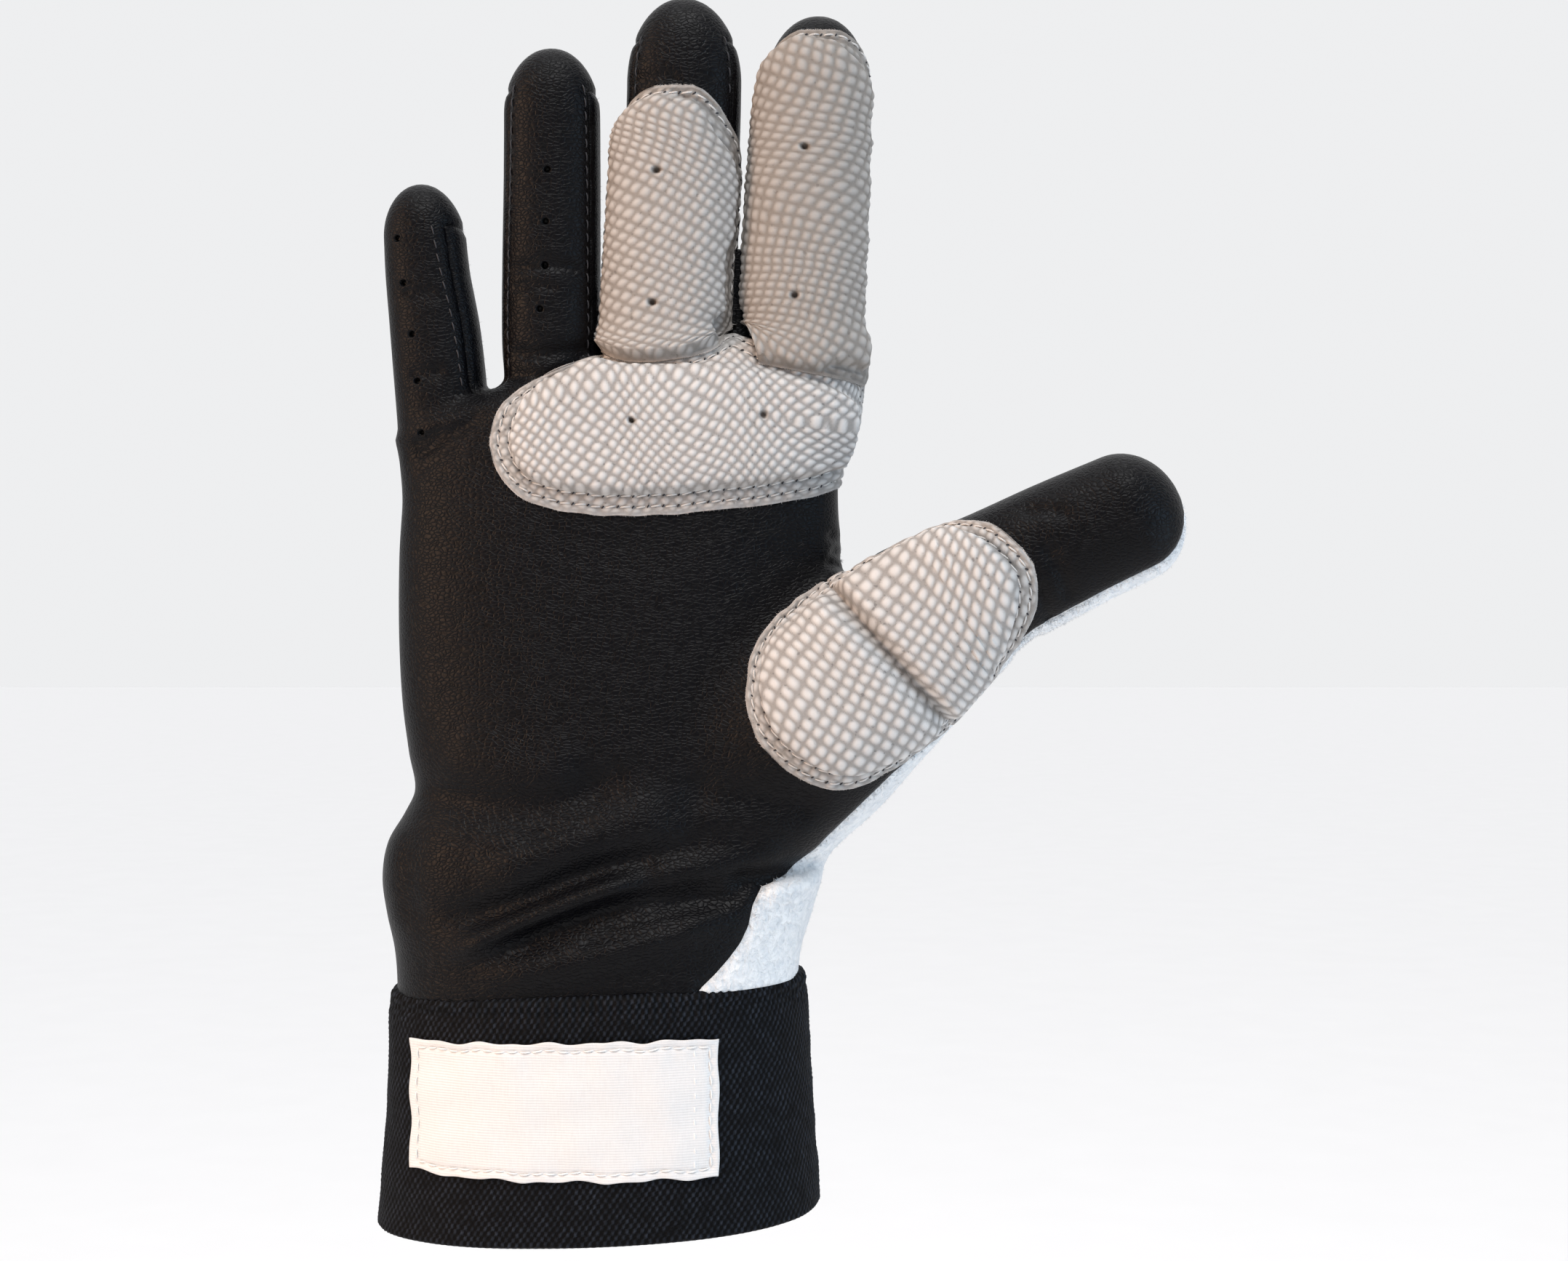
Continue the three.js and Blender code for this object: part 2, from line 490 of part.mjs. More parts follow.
pieces.knuckle_pad = slab(16, 8, (u, v, t) => {
  const x = lerp(KNUCKLE_ROWS[0].x, KNUCKLE_ROWS.at(-1).x, u), r = at(KNUCKLE_ROWS, x, "x"), z = lerp(r.lo, r.hi, v);
  const e = Math.min(1, 2 * Math.min(v, 1 - v) * 1.1, u * 9, (1 - u) * 9);
  return [x, frontOf(x, z) - (t ? GAP + PATCH + KNUCKLE_PUFF * crown(e) : -3), z];
}).subtract(clearOf);

pieces.thumb_pad = slab(16, 9, (u, v, t) => {
  const P = THUMB_PAD, l = Math.hypot(P.x1 - P.x0, P.z1 - P.z0), ux = (P.x1 - P.x0) / l, uz = (P.z1 - P.z0) / l;
  const first = THUMB_PAD_ROWS[0].s, along = lerp(first, THUMB_PAD_ROWS.at(-1).s, 0.5 - 0.5 * Math.cos(Math.PI * u));
  const r = at(THUMB_PAD_ROWS, along, "s"), side = lerp(-r.down, r.up, v);
  const x = P.x0 + ux * along - uz * side, z = P.z0 + uz * along + ux * side;
  const e = Math.min(1, 2 * Math.min(v, 1 - v), u * 5, (1 - u) * 5);
  const crease = 1 - 0.75 * Math.exp(-(((along - P.crease) / 2.8) ** 2));
  return [x, frontOf(x, z) - (t ? GAP + PATCH + P.puff * crown(e) * crease : -2.5), z];
}).subtract(clearOf);

for (const name of ["knuckle_pad", "thumb_pad", ...Object.keys(FINGER_PADS)]) pieces[name] = biggest(pieces[name]);

// ---------------------------------------------------------------- materials and scene
const leather = new THREE.MeshStandardMaterial({ name: "black_leather", color: 0x16151a, roughness: 0.5, metalness: 0 });
const knit = new THREE.MeshStandardMaterial({ name: "white_knit", color: 0xdfe5e8, roughness: 0.95, metalness: 0 });
const padLeather = new THREE.MeshStandardMaterial({ name: "grey_textured_leather", color: 0xb9b4ae, roughness: 0.7, metalness: 0 });
const elastic = new THREE.MeshStandardMaterial({ name: "black_elastic", color: 0x14141a, roughness: 0.95, metalness: 0 });
const satin = new THREE.MeshStandardMaterial({ name: "white_satin", color: 0xf1efec, roughness: 0.6, metalness: 0 });
const MATERIALS = {
  palm_panel: leather, back_panel: knit, thumb_panel: leather, thumb_back: knit, cuff: elastic, label: satin,
  knuckle_pad: padLeather, thumb_pad: padLeather, middle_finger_pad: padLeather, index_finger_pad: padLeather,
};

const glove = new THREE.Group();
glove.name = "batting_inner_glove";
for (const [name, solid] of Object.entries(pieces)) {
  const m = solid.getMesh(), g = new THREE.BufferGeometry(), n = m.numProp;
  const v = new Float32Array(m.numVert * 3);
  for (let i = 0; i < m.numVert; i++) v.set(m.vertProperties.subarray(i * n, i * n + 3), i * 3);
  g.setAttribute("position", new THREE.BufferAttribute(v, 3));
  g.setIndex(new THREE.BufferAttribute(m.triVerts, 1));
  g.computeVertexNormals();
  const mesh = new THREE.Mesh(g, MATERIALS[name] ?? leather);
  mesh.name = name;
  glove.add(mesh);
}

export default glove;
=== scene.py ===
# Padded batting inner glove, right hand, palm towards -Y, fingers up. Shapes are worked out in
# millimetres from short tables and fields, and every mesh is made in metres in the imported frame.
import math
import bpy
import numpy as np
from mathutils.kdtree import KDTree
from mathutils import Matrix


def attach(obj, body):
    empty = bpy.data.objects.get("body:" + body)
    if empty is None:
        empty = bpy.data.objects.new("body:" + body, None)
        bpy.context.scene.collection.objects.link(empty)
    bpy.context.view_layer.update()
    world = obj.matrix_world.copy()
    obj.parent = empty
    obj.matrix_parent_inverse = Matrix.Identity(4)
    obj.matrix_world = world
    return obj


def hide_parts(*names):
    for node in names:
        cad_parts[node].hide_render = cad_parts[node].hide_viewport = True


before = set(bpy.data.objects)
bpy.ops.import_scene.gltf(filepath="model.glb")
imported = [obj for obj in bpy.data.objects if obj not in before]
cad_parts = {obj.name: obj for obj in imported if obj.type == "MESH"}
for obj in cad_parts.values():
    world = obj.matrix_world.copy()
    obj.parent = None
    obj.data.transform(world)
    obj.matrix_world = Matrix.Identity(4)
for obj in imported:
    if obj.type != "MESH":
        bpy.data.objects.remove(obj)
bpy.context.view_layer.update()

rng = np.random.default_rng(7)
MM = 0.001
CAMERA_AWAY = 420.0  # mm in front of the hand's mid plane
CAMERA_X, CAMERA_Z = 37.8, 119.0
PER_PIXEL = 0.15  # mm at the mid plane


def px(u, v, y=0.0):
    """x and z in mm of a place in the 2156 x 1734 picture, on the plane at depth y."""
    k = (CAMERA_AWAY + y) / CAMERA_AWAY * PER_PIXEL
    return CAMERA_X + (u - 1078) * k, CAMERA_Z + (867 - v) * k


def route(y, *points):
    """A line through places in the picture at depth y, with its corners rounded."""
    line = np.array([px(u, v, y) for u, v in points])
    for _ in range(2):
        cut = np.empty((2 * len(line), 2))
        cut[0], cut[-1] = line[0], line[-1]
        cut[1:-1:2] = 0.75 * line[:-1] + 0.25 * line[1:]
        cut[2:-1:2] = 0.25 * line[:-1] + 0.75 * line[1:]
        line = cut
    return line


# ------------------------------------------------------------------ tables
def curves(names, *rows):
    """One smooth curve for each column, of the first column."""
    names, a = names.split(), np.array(rows, float)
    k, out = a[:, 0], {}
    fine = np.linspace(k[0], k[-1], 900)
    i = np.clip(np.searchsorted(k, fine) - 1, 0, len(k) - 2)
    h = k[i + 1] - k[i]
    t = (fine - k[i]) / h
    for j, name in enumerate(names[1:], 1):
        v, n = a[:, j], len(k)
        m = np.array([(v[min(n - 1, q + 1)] - v[max(0, q - 1)]) / (k[min(n - 1, q + 1)] - k[max(0, q - 1)]) for q in range(n)])
        s = (2*t**3 - 3*t**2 + 1)*v[i] + (t**3 - 2*t**2 + t)*h*m[i] + (3*t**2 - 2*t**3)*v[i + 1] + (t**3 - t**2)*h*m[i + 1]
        out[name] = lambda q, s=s: np.interp(q, fine, s)
    return out


FINGERS = {
    "pinky": dict(tip=210.1, round=11.0, n=2.3, rows=curves(
        "z x w f b", (150, -31.6, 9.2, 8.6, 9.4), (167, -32.7, 9.4, 8.6, 9.0), (181, -33.9, 9.2, 8.3, 8.1),
        (194, -35.4, 8.5, 7.9, 7.7), (211, -36.2, 7.9, 7.4, 7.2))),
    "ring": dict(tip=236.8, round=13.0, n=2.3, rows=curves(
        "z x w f b", (152, -9.4, 10.0, 9.6, 9.2), (181, -10.0, 10.1, 9.5, 9.0), (214, -9.5, 9.8, 9.0, 8.6),
        (239, -9.2, 9.6, 8.4, 8.0))),
    "middle": dict(tip=246.5, round=16.5, n=2.3, rows=curves(
        "z x w f b", (152, 14.0, 12.2, 10.6, 10.0), (181, 15.0, 12.0, 10.4, 9.8), (204, 16.4, 11.8, 10.0, 9.4),
        (228, 17.5, 11.6, 9.6, 9.0), (249, 17.6, 11.5, 9.0, 8.4))),
    "index": dict(tip=243.0, round=13.0, n=2.3, rows=curves(
        "z x w f b", (152, 41.0, 11.0, 10.4, 10.0), (181, 41.8, 11.0, 10.2, 9.8), (207, 43.0, 10.7, 9.8, 9.2),
        (228, 44.2, 10.3, 9.3, 8.7), (245, 44.8, 10.1, 8.8, 8.2))),
}
PALM = curves(
    "z xl xr f b", (36, -41.0, 40.4, 25.2, 23.4), (49, -41.2, 40.6, 25.6, 23.4), (55, -41.8, 41.4, 25.2, 22.6),
    (62, -43.4, 43.6, 24.8, 21.8), (69, -44.3, 45.2, 24.0, 21.0), (76, -43.2, 45.6, 23.0, 20.2),
    (82, -39.8, 46.0, 21.6, 19.2), (86.5, -37.9, 46.6, 20.8, 18.6), (94, -39.0, 47.4, 20.0, 18.0),
    (104, -40.4, 48.4, 19.0, 17.2), (118, -41.2, 49.2, 17.6, 16.2), (134, -41.2, 49.8, 16.4, 15.2),
    (147, -40.6, 49.0, 15.2, 13.6), (160, -41.2, 52.4, 14.2, 11.6), (170, -42.0, 53.6, 13.0, 10.8))
PALM_TOP, PALM_ROUND, PALM_N, KNUCKLE_SLOPE = 175.5, 9.0, 2.6, 0.2
THUMB = curves(
    "s x z y w f b", (0, 22.0, 78.0, 0.0, 15.0, 16.0, 13.0), (1, 37.5, 93.0, -2.5, 20.6, 20.5, 15.0),
    (2, 52.0, 107.6, -6.5, 20.0, 18.0, 14.0), (3, 67.0, 120.6, -11.0, 17.4, 14.0, 13.0),
    (4, 80.3, 129.1, -15.0, 14.2, 11.8, 11.6), (5, 93.0, 135.6, -18.0, 13.4, 10.8, 10.8),
    (6, 105.0, 141.1, -20.0, 12.9, 10.4, 10.4))
THUMB_ROUND, THUMB_N, THUMB_SEAM = 11.2, 2.2, 7.2
THUMB_CUT = ((49.5, 133.5), (76.5, 97.5))
KNIT_EDGE = np.array([(20.4, 36.0), (21.4, 49.0), (24.4, 51.8), (27.2, 54.8), (29.4, 57.6), (31.0, 61.0), (31.8, 65.0), (33.4, 68.6),
                      (38.4, 70.6), (44.0, 74.8), (51.2, 82.2), (59.6, 90.4), (68.6, 97.6), (76.0, 101.5), (140.0, 104.0)])
CURL, CURL_FROM, CURL_OVER = 9.0, 158.0, 91.0
WRAP = 3.0
CUFF = curves(
    "z xl xr f b", (0, -45.4, 45.0, 28.4, 26.6), (8, -44.6, 44.6, 28.2, 26.4), (20, -43.8, 43.7, 27.8, 26.0),
    (34, -43.3, 43.0, 27.6, 25.8), (45, -42.7, 42.4, 27.3, 25.3), (48.3, -41.8, 41.4, 26.6, 24.6))
CUFF_N, CUFF_HEIGHT, CUFF_TILT, CUFF_WALL = 2.25, 48.3, 0.036, 2.2


def smooth(t):
    t = np.clip(t, 0.0, 1.0)
    return t * t * (3 - 2 * t)


def curl(z):
    return -CURL * np.maximum(0.0, (z - CURL_FROM) / CURL_OVER) ** 1.6


# ------------------------------------------------------------------ folds
# Each fold follows a route on the front: height in mm (below 0 it is a valley) and half width.
FOLDS = [
    (route(-25, (596, 1322), (640, 1303), (690, 1278), (740, 1256), (790, 1236), (835, 1221), (900, 1206)), 2.9, 2.6),
    (route(-24, (575, 1258), (650, 1264), (713, 1245), (783, 1213), (850, 1190), (930, 1172), (1010, 1160)), -2.5, 3.0),
    (route(-25, (650, 1326), (700, 1304), (757, 1281), (843, 1252), (930, 1237), (1040, 1228)), -2.6, 3.0),
    (route(-26, (630, 1350), (700, 1338), (783, 1326), (860, 1306), (950, 1278), (1020, 1256)), 1.5, 3.0),
    (route(-23, (640, 1218), (705, 1190), (790, 1152), (865, 1130), (960, 1128)), 1.7, 6.0),
    (route(-21, (562, 1086), (640, 1110), (726, 1116), (800, 1096), (880, 1066)), -1.7, 4.0),
    (route(-20, (580, 1036), (640, 1046), (726, 1068), (810, 1056)), 1.2, 6.0),
    (route(-22, (920, 1082), (1000, 1098), (1080, 1106), (1150, 1096)), -1.4, 4.0),
    (route(-23, (950, 1096), (1050, 1130), (1110, 1150), (1150, 1150)), 1.1, 4.5),
    (route(-22, (880, 1192), (980, 1186), (1052, 1180), (1100, 1160)), 1.3, 3.4),
    (route(-20, (990, 1214), (1050, 1208), (1100, 1200), (1140, 1188)), -2.4, 2.2),
    (route(-18, (1050, 1228), (1100, 1222), (1135, 1210)), 1.2, 2.4),
    (route(-25, (806, 1286), (890, 1266), (980, 1250), (1040, 1240)), -0.7, 1.1),
    (route(-25, (790, 1300), (880, 1284), (960, 1268)), -0.6, 1.0),
    (route(-25, (900, 1252), (970, 1240), (1030, 1232)), -0.6, 1.0),
    (route(-22, (700, 1160), (770, 1138), (830, 1126)), -0.5, 1.2),
    (route(-22, (660, 1180), (720, 1160), (770, 1142)), -0.4, 1.2),
    (route(-23, (545, 1140), (556, 1180), (552, 1230), (560, 1290)), -0.8, 3.0),
    # creases at the fingers' roots and joints
    (route(-12, (556, 634), (600, 606), (640, 584), (676, 562)), -1.7, 1.5),
    (route(-12, (556, 612), (585, 600), (615, 584)), -0.8, 1.0),
    (route(-12, (560, 654), (600, 632), (640, 612)), -0.6, 1.2),
    (route(-12, (544, 398), (572, 402), (600, 398)), -0.5, 1.2),
    (route(-12, (552, 506), (580, 512), (612, 504)), -0.6, 1.3),
    (route(-14, (690, 366), (740, 360), (806, 364)), -0.8, 1.3),
    (route(-14, (692, 392), (730, 388), (770, 392)), -0.5, 1.1),
    (route(-14, (690, 478), (740, 485), (812, 472)), -1.0, 1.6),
    (route(-14, (692, 506), (740, 520), (800, 500)), -0.7, 1.6),
    (route(-12, (680, 556), (716, 548), (760, 520), (812, 480)), -1.2, 1.6),
    (route(-22, (864, 96), (900, 88), (940, 96)), -0.4, 1.2),
    # the thumb's leather and the crotch
    (route(-28, (1424, 800), (1440, 836), (1452, 858)), -0.7, 1.4),
    (route(-28, (1432, 742), (1462, 790), (1476, 830)), -0.6, 1.6),
    (route(-24, (1394, 912), (1418, 884), (1444, 866)), -0.8, 1.2),
    (route(-28, (1400, 706), (1440, 700), (1480, 712)), -0.5, 1.4),
    (route(-10, (1140, 752), (1156, 762), (1180, 770)), -1.2, 1.3),
    (route(-10, (1130, 772), (1152, 776), (1176, 790)), -0.9, 1.1),
    (route(-10, (1136, 730), (1150, 742), (1172, 748)), -0.9, 1.1),
    (route(-16, (1000, 800), (1060, 760), (1120, 740)), -0.5, 4.0),
    (route(-16, (700, 740), (800, 760), (900, 750), (1000, 730)), -0.4, 5.0),
]
BACK_FOLDS = [
    (np.array([(-38, 62), (-10, 67), (20, 64), (44, 72)]), -1.3, 2.6),
    (np.array([(-40, 70), (-8, 76), (22, 74), (44, 80)]), 1.3, 3.4),
    (np.array([(-36, 54), (0, 56), (36, 56)]), 1.1, 2.8),
    (np.array([(-34, 84), (0, 88), (30, 86)]), -0.7, 4.0),
    (np.array([(-24, 160), (-20, 168), (-21, 176)]), -0.7, 1.8),
    (np.array([(2, 162), (3, 170), (2, 178)]), -0.7, 1.8),
    (np.array([(28, 162), (28, 170), (29, 178)]), -0.7, 1.8),
]


def fold(x, z, folds):
    out = np.zeros_like(x)
    for line, high, wide in folds:
        lo, hi = line.min(0) - 3 * wide, line.max(0) + 3 * wide
        near = np.flatnonzero((x > lo[0]) & (x < hi[0]) & (z > lo[1]) & (z < hi[1]))
        if not len(near):
            continue
        qx, qz = x[near], z[near]
        step = np.hypot(*np.diff(line, axis=0).T)
        run, best, where = np.concatenate([[0], np.cumsum(step)]), np.full(len(near), 1e9), np.zeros(len(near))
        for i in range(len(line) - 1):
            a, e = line[i], line[i + 1] - line[i]
            t = np.clip(((qx - a[0]) * e[0] + (qz - a[1]) * e[1]) / (e @ e), 0, 1)
            d = np.hypot(qx - a[0] - t * e[0], qz - a[1] - t * e[1])
            nearer = d < best
            best = np.where(nearer, d, best)
            where = np.where(nearer, run[i] + t * step[i], where)
        s = where / run[-1]
        fade = smooth(s / 0.22) * smooth((1 - s) / 0.22)
        out[near] += high * np.exp(-(best / wide) ** 2) * (0.12 + 0.88 * fade)
    return out


# ------------------------------------------------------------------ the glove's surface as a field
def gauge(x, y, w, f, b, n):
    return ((np.abs(x) / w) ** n + (np.abs(y) / np.where(y < 0, f, b)) ** n) ** (1 / n)


def beyond(r, g):
    return r * (1 - 1 / np.maximum(g, 1e-3))


def blend_min(a, b, k):
    h = np.clip(0.5 + 0.5 * (b - a) / k, 0, 1)
    return b + (a - b) * h - k * h * (1 - h)


def palm_field(x, y, z):
    xc = (PALM["xl"](z) + PALM["xr"](z)) / 2
    zz = z - KNUCKLE_SLOPE * smooth((z - 140) / 20) * (x - xc)
    xl, xr = PALM["xl"](zz), PALM["xr"](zz)
    dx, dy = x - (xl + xr) / 2, y - curl(zz)
    t = np.maximum(0, zz - (PALM_TOP - PALM_ROUND))
    g = np.sqrt(gauge(dx, dy, (xr - xl) / 2, PALM["f"](zz), PALM["b"](zz), PALM_N) ** 2 + (t / PALM_ROUND) ** 2)
    return beyond(np.sqrt(dx * dx + dy * dy + t * t), g)


def finger_field(F, x, y, z):
    r = F["rows"]
    dx, dy = x - r["x"](z), y - curl(z)
    t = np.maximum(0, z - (F["tip"] - F["round"]))
    g = np.sqrt(gauge(dx, dy, r["w"](z), r["f"](z), r["b"](z), F["n"]) ** 2 + (t / F["round"]) ** 2)
    return beyond(np.sqrt(dx * dx + dy * dy + t * t), g) + 0.6 * np.maximum(0, 161 - z)


AXIS_S = np.linspace(0, 6, 37)
AXIS = np.stack([THUMB["x"](AXIS_S), THUMB["z"](AXIS_S)], 1)


def thumb_place(x, z):
    """Along (in rows), across (towards the lower edge) and past the end, for places on the front."""
    best, s_at, v_at, past = np.full(x.shape, 1e9), np.zeros_like(x), np.zeros_like(x), np.zeros_like(x)
    last = len(AXIS) - 2
    for i in range(len(AXIS) - 1):
        a, e = AXIS[i], AXIS[i + 1] - AXIS[i]
        l = math.hypot(*e)
        u = e / l
        along = (x - a[0]) * u[0] + (z - a[1]) * u[1]
        across = (x - a[0]) * u[1] - (z - a[1]) * u[0]
        t = np.clip(along / l, 0, 1)
        d = np.hypot(along - t * l, across)
        nearer = d < best
        best = np.where(nearer, d, best)
        s_at = np.where(nearer, AXIS_S[i] + t * (AXIS_S[i + 1] - AXIS_S[i]), s_at)
        v_at = np.where(nearer, across, v_at)
        over = np.maximum(0, along - l) if i == last else (np.minimum(0, along) if i == 0 else 0 * along)
        past = np.where(nearer, over, past)
    return s_at, v_at, past


def thumb_field(x, y, z):
    s, v, past = thumb_place(x, z)
    dy, t = y - THUMB["y"](s), np.abs(past)
    g = np.sqrt(gauge(v, dy, THUMB["w"](s), THUMB["f"](s), THUMB["b"](s), THUMB_N) ** 2 + (t / THUMB_ROUND) ** 2)
    return beyond(np.sqrt(v * v + dy * dy + t * t), g)


def field(p):
    x, y, z = p.T
    hand = palm_field(x, y, z)
    tips = np.full(len(p), 60.0)
    up = np.flatnonzero(z > 144)
    if len(up):
        q = [finger_field(F, x[up], y[up], z[up]) for F in FINGERS.values()]
        tips[up] = np.minimum(np.minimum(q[0], q[1]), np.minimum(q[2], q[3]))
    d = blend_min(hand, tips, 5.0)
    web = np.flatnonzero((x > 18) & (x < 40) & (z > 150) & (z < 212))
    if len(web):
        wx, wy, wz = x[web] - (28.4 + 0.035 * (z[web] - 170)), y[web] - curl(z[web]) - 0.5, z[web] - 195
        wall = np.sqrt(wx ** 2 + np.maximum(0, np.abs(wy) - 3.0) ** 2 + np.maximum(0, wz) ** 2) - 1.7
        d[web] = blend_min(d[web], wall, 2.0)
    side = np.flatnonzero((x > 6) & (z > 56) & (z < 172))
    if len(side):
        d[side] = blend_min(d[side], thumb_field(x[side], y[side], z[side]), 7.0)
    shell = np.abs(d) < 12
    front = smooth((4 - y[shell]) / 12)
    d[shell] -= front * fold(x[shell], z[shell], FOLDS) + (1 - front) * fold(x[shell], z[shell], BACK_FOLDS)
    return d


def slope_of(p, e=0.2):
    g = np.empty_like(p)
    for i in range(3):
        a, b = p.copy(), p.copy()
        a[:, i] += e
        b[:, i] -= e
        g[:, i] = (field(a) - field(b)) / (2 * e)
    return g


def settle(p, steps=3, reach=3.0):
    """Points moved onto the surface, and the surface's normals there."""
    p = np.array(p, float)
    for _ in range(steps):
        g = slope_of(p)
        move = g * (field(p) / np.maximum((g * g).sum(1), 0.15))[:, None]
        size = np.linalg.norm(move, axis=1, keepdims=True)
        p -= move * np.minimum(1, reach / np.maximum(size, 1e-9))
    g = slope_of(p)
    return p, g / np.maximum(np.linalg.norm(g, axis=1, keepdims=True), 1e-9)


# ------------------------------------------------------------------ mesh tools
def surface_nets(f, lo, hi, h):
    lo, axes = np.array(lo, float), [np.arange(a, b + h, h) for a, b in zip(lo, hi)]
    X, Y, Z = np.meshgrid(*axes, indexing="ij")
    V = f(np.stack([X, Y, Z], -1).reshape(-1, 3)).reshape(X.shape)
    S, n = V < 0, np.array(X.shape) - 1
    corner = [(i, j, k) for i in (0, 1) for j in (0, 1) for k in (0, 1)]
    count = sum(S[i:i + n[0], j:j + n[1], k:k + n[2]].astype(np.int8) for i, j, k in corner)
    active = (count > 0) & (count < 8)
    ids = np.full(n, -1)
    ids[active] = np.arange(active.sum())
    cells = np.argwhere(active)
    values = np.stack([V[cells[:, 0] + i, cells[:, 1] + j, cells[:, 2] + k] for i, j, k in corner], 1)
    total, number = np.zeros((len(cells), 3)), np.zeros(len(cells))
    for a in range(8):
        for b in range(a + 1, 8):
            if sum(abs(p - q) for p, q in zip(corner[a], corner[b])) != 1:
                continue
            va, vb = values[:, a], values[:, b]
            hit = (va < 0) != (vb < 0)
            t = np.where(hit, va / np.where(hit, va - vb, 1), 0)
            place = np.array(corner[a]) + t[:, None] * (np.array(corner[b]) - np.array(corner[a]))
            total += np.where(hit[:, None], place, 0)
            number += hit
    verts, quads = lo + (cells + total / number[:, None]) * h, []
    for axis in range(3):
        a, b = [1, 2, 0][axis], [2, 0, 1][axis]
        first = [slice(1, None)] * 3
        first[axis] = slice(0, -1)
        second = [slice(1, None)] * 3
        lower, upper = S[tuple(first)], np.roll(S, -1, axis)[tuple(first)]
        for flip, mask in ((False, lower & ~upper), (True, ~lower & upper)):
            c = np.argwhere(mask)
            c[:, a] += 1
            c[:, b] += 1
            c = c[(c[:, a] < n[a] + 0) & (c[:, b] < n[b] + 0)]
            ring = []
            for da, db in ((-1, -1), (0, -1), (0, 0), (-1, 0)):
                q = c.copy()
                q[:, a] += da
                q[:, b] += db
                ring.append(ids[q[:, 0], q[:, 1], q[:, 2]])
            ring = np.stack(ring, 1)
            quads.append(ring[:, ::-1] if flip else ring)
    quads = np.concatenate(quads)
    return verts, quads[(quads >= 0).all(1)]


def triangles(quads):
    return np.concatenate([quads[:, [0, 1, 2]], quads[:, [0, 2, 3]]])


def relax(v, t, share=0.6):
    """Every point moved towards the middle of its neighbours."""
    e = np.concatenate([t[:, [0, 1]], t[:, [1, 2]], t[:, [2, 0]]])
    e = np.concatenate([e, e[:, ::-1]])
    number = np.maximum(np.bincount(e[:, 0], minlength=len(v)), 1)
    middle = np.stack([np.bincount(e[:, 0], v[e[:, 1], k], len(v)) for k in range(3)], 1) / number[:, None]
    return v + share * (middle - v)


def clip(v, t, phi):
    """The part of a triangle mesh where phi is below 0."""
    inside = phi <= 0
    s = inside[t].sum(1)
    part = t[(s == 1) | (s == 2)]
    i = inside[part]
    odd = np.where(i.sum(1) == 1, i.argmax(1), (~i).argmax(1))
    r = np.arange(len(part))
    a, b, c = part[r, odd], part[r, (odd + 1) % 3], part[r, (odd + 2) % 3]
    pair = np.sort(np.concatenate([np.stack([a, b], 1), np.stack([a, c], 1)]), 1)
    edge, back = np.unique(pair, axis=0, return_inverse=True)
    back = back.reshape(-1)
    w = (phi[edge[:, 0]] / (phi[edge[:, 0]] - phi[edge[:, 1]]))[:, None]
    w = np.clip(w, 0.02, 0.98)
    fresh = v[edge[:, 0]] * (1 - w) + v[edge[:, 1]] * w
    ab, ac = len(v) + back[:len(part)], len(v) + back[len(part):]
    one = inside[a]
    tris = np.concatenate([t[s == 3], np.stack([a, ab, ac], 1)[one], np.stack([ab, b, c], 1)[~one], np.stack([ab, c, ac], 1)[~one]])
    allv = np.concatenate([v, fresh])
    used, back = np.unique(tris, return_inverse=True)
    return allv[used], back.reshape(-1, 3), fresh


def refine(v, t, near):
    """Every edge whose middle is near is cut in two, and its triangles with it."""
    e = np.sort(np.concatenate([t[:, [0, 1]], t[:, [1, 2]], t[:, [2, 0]]]), 1)
    edge, back = np.unique(e, axis=0, return_inverse=True)
    back = back.reshape(3, -1).T
    middle = (v[edge[:, 0]] + v[edge[:, 1]]) / 2
    marked = near(middle)
    ids = np.full(len(edge), -1)
    ids[marked] = len(v) + np.arange(marked.sum())
    m, out = ids[back], []
    has = m >= 0
    n = has.sum(1)
    out.append(t[n == 0])
    q, w = t[n == 3], m[n == 3]
    out += [np.stack(s, 1) for s in ((q[:, 0], w[:, 0], w[:, 2]), (q[:, 1], w[:, 1], w[:, 0]), (q[:, 2], w[:, 2], w[:, 1]), (w[:, 0], w[:, 1], w[:, 2]))]
    for k in range(3):
        a, b, c = k, (k + 1) % 3, (k + 2) % 3
        pick = (n == 1) & has[:, a]
        q, w = t[pick], m[pick]
        out += [np.stack(s, 1) for s in ((q[:, a], w[:, a], q[:, c]), (w[:, a], q[:, b], q[:, c]))]
        pick = (n == 2) & ~has[:, a]  # cut on b-c and c-a
        q, w = t[pick], m[pick]
        out += [np.stack(s, 1) for s in ((q[:, c], w[:, c], w[:, b]), (q[:, a], q[:, b], w[:, b]), (q[:, a], w[:, b], w[:, c]))]
    return np.concatenate([v, middle[marked]]), np.concatenate(out)


def rim_edges(t):
    e = np.concatenate([t[:, [0, 1]], t[:, [1, 2]], t[:, [2, 0]]])
    key = np.sort(e, 1)
    _, first, number = np.unique(key, axis=0, return_index=True, return_counts=True)
    return e[first[number == 1]]


def thick(v, t, normals, depth):
    """A closed sheet: v outside, and a second skin depth below it."""
    n, rim = len(v), rim_edges(t)
    faces = [t, t[:, ::-1] + n]
    side = np.concatenate([np.stack([rim[:, 1], rim[:, 0], rim[:, 0] + n], 1), np.stack([rim[:, 1], rim[:, 0] + n, rim[:, 1] + n], 1)])
    return np.concatenate([v, v - normals * depth]), np.concatenate(faces + [side])


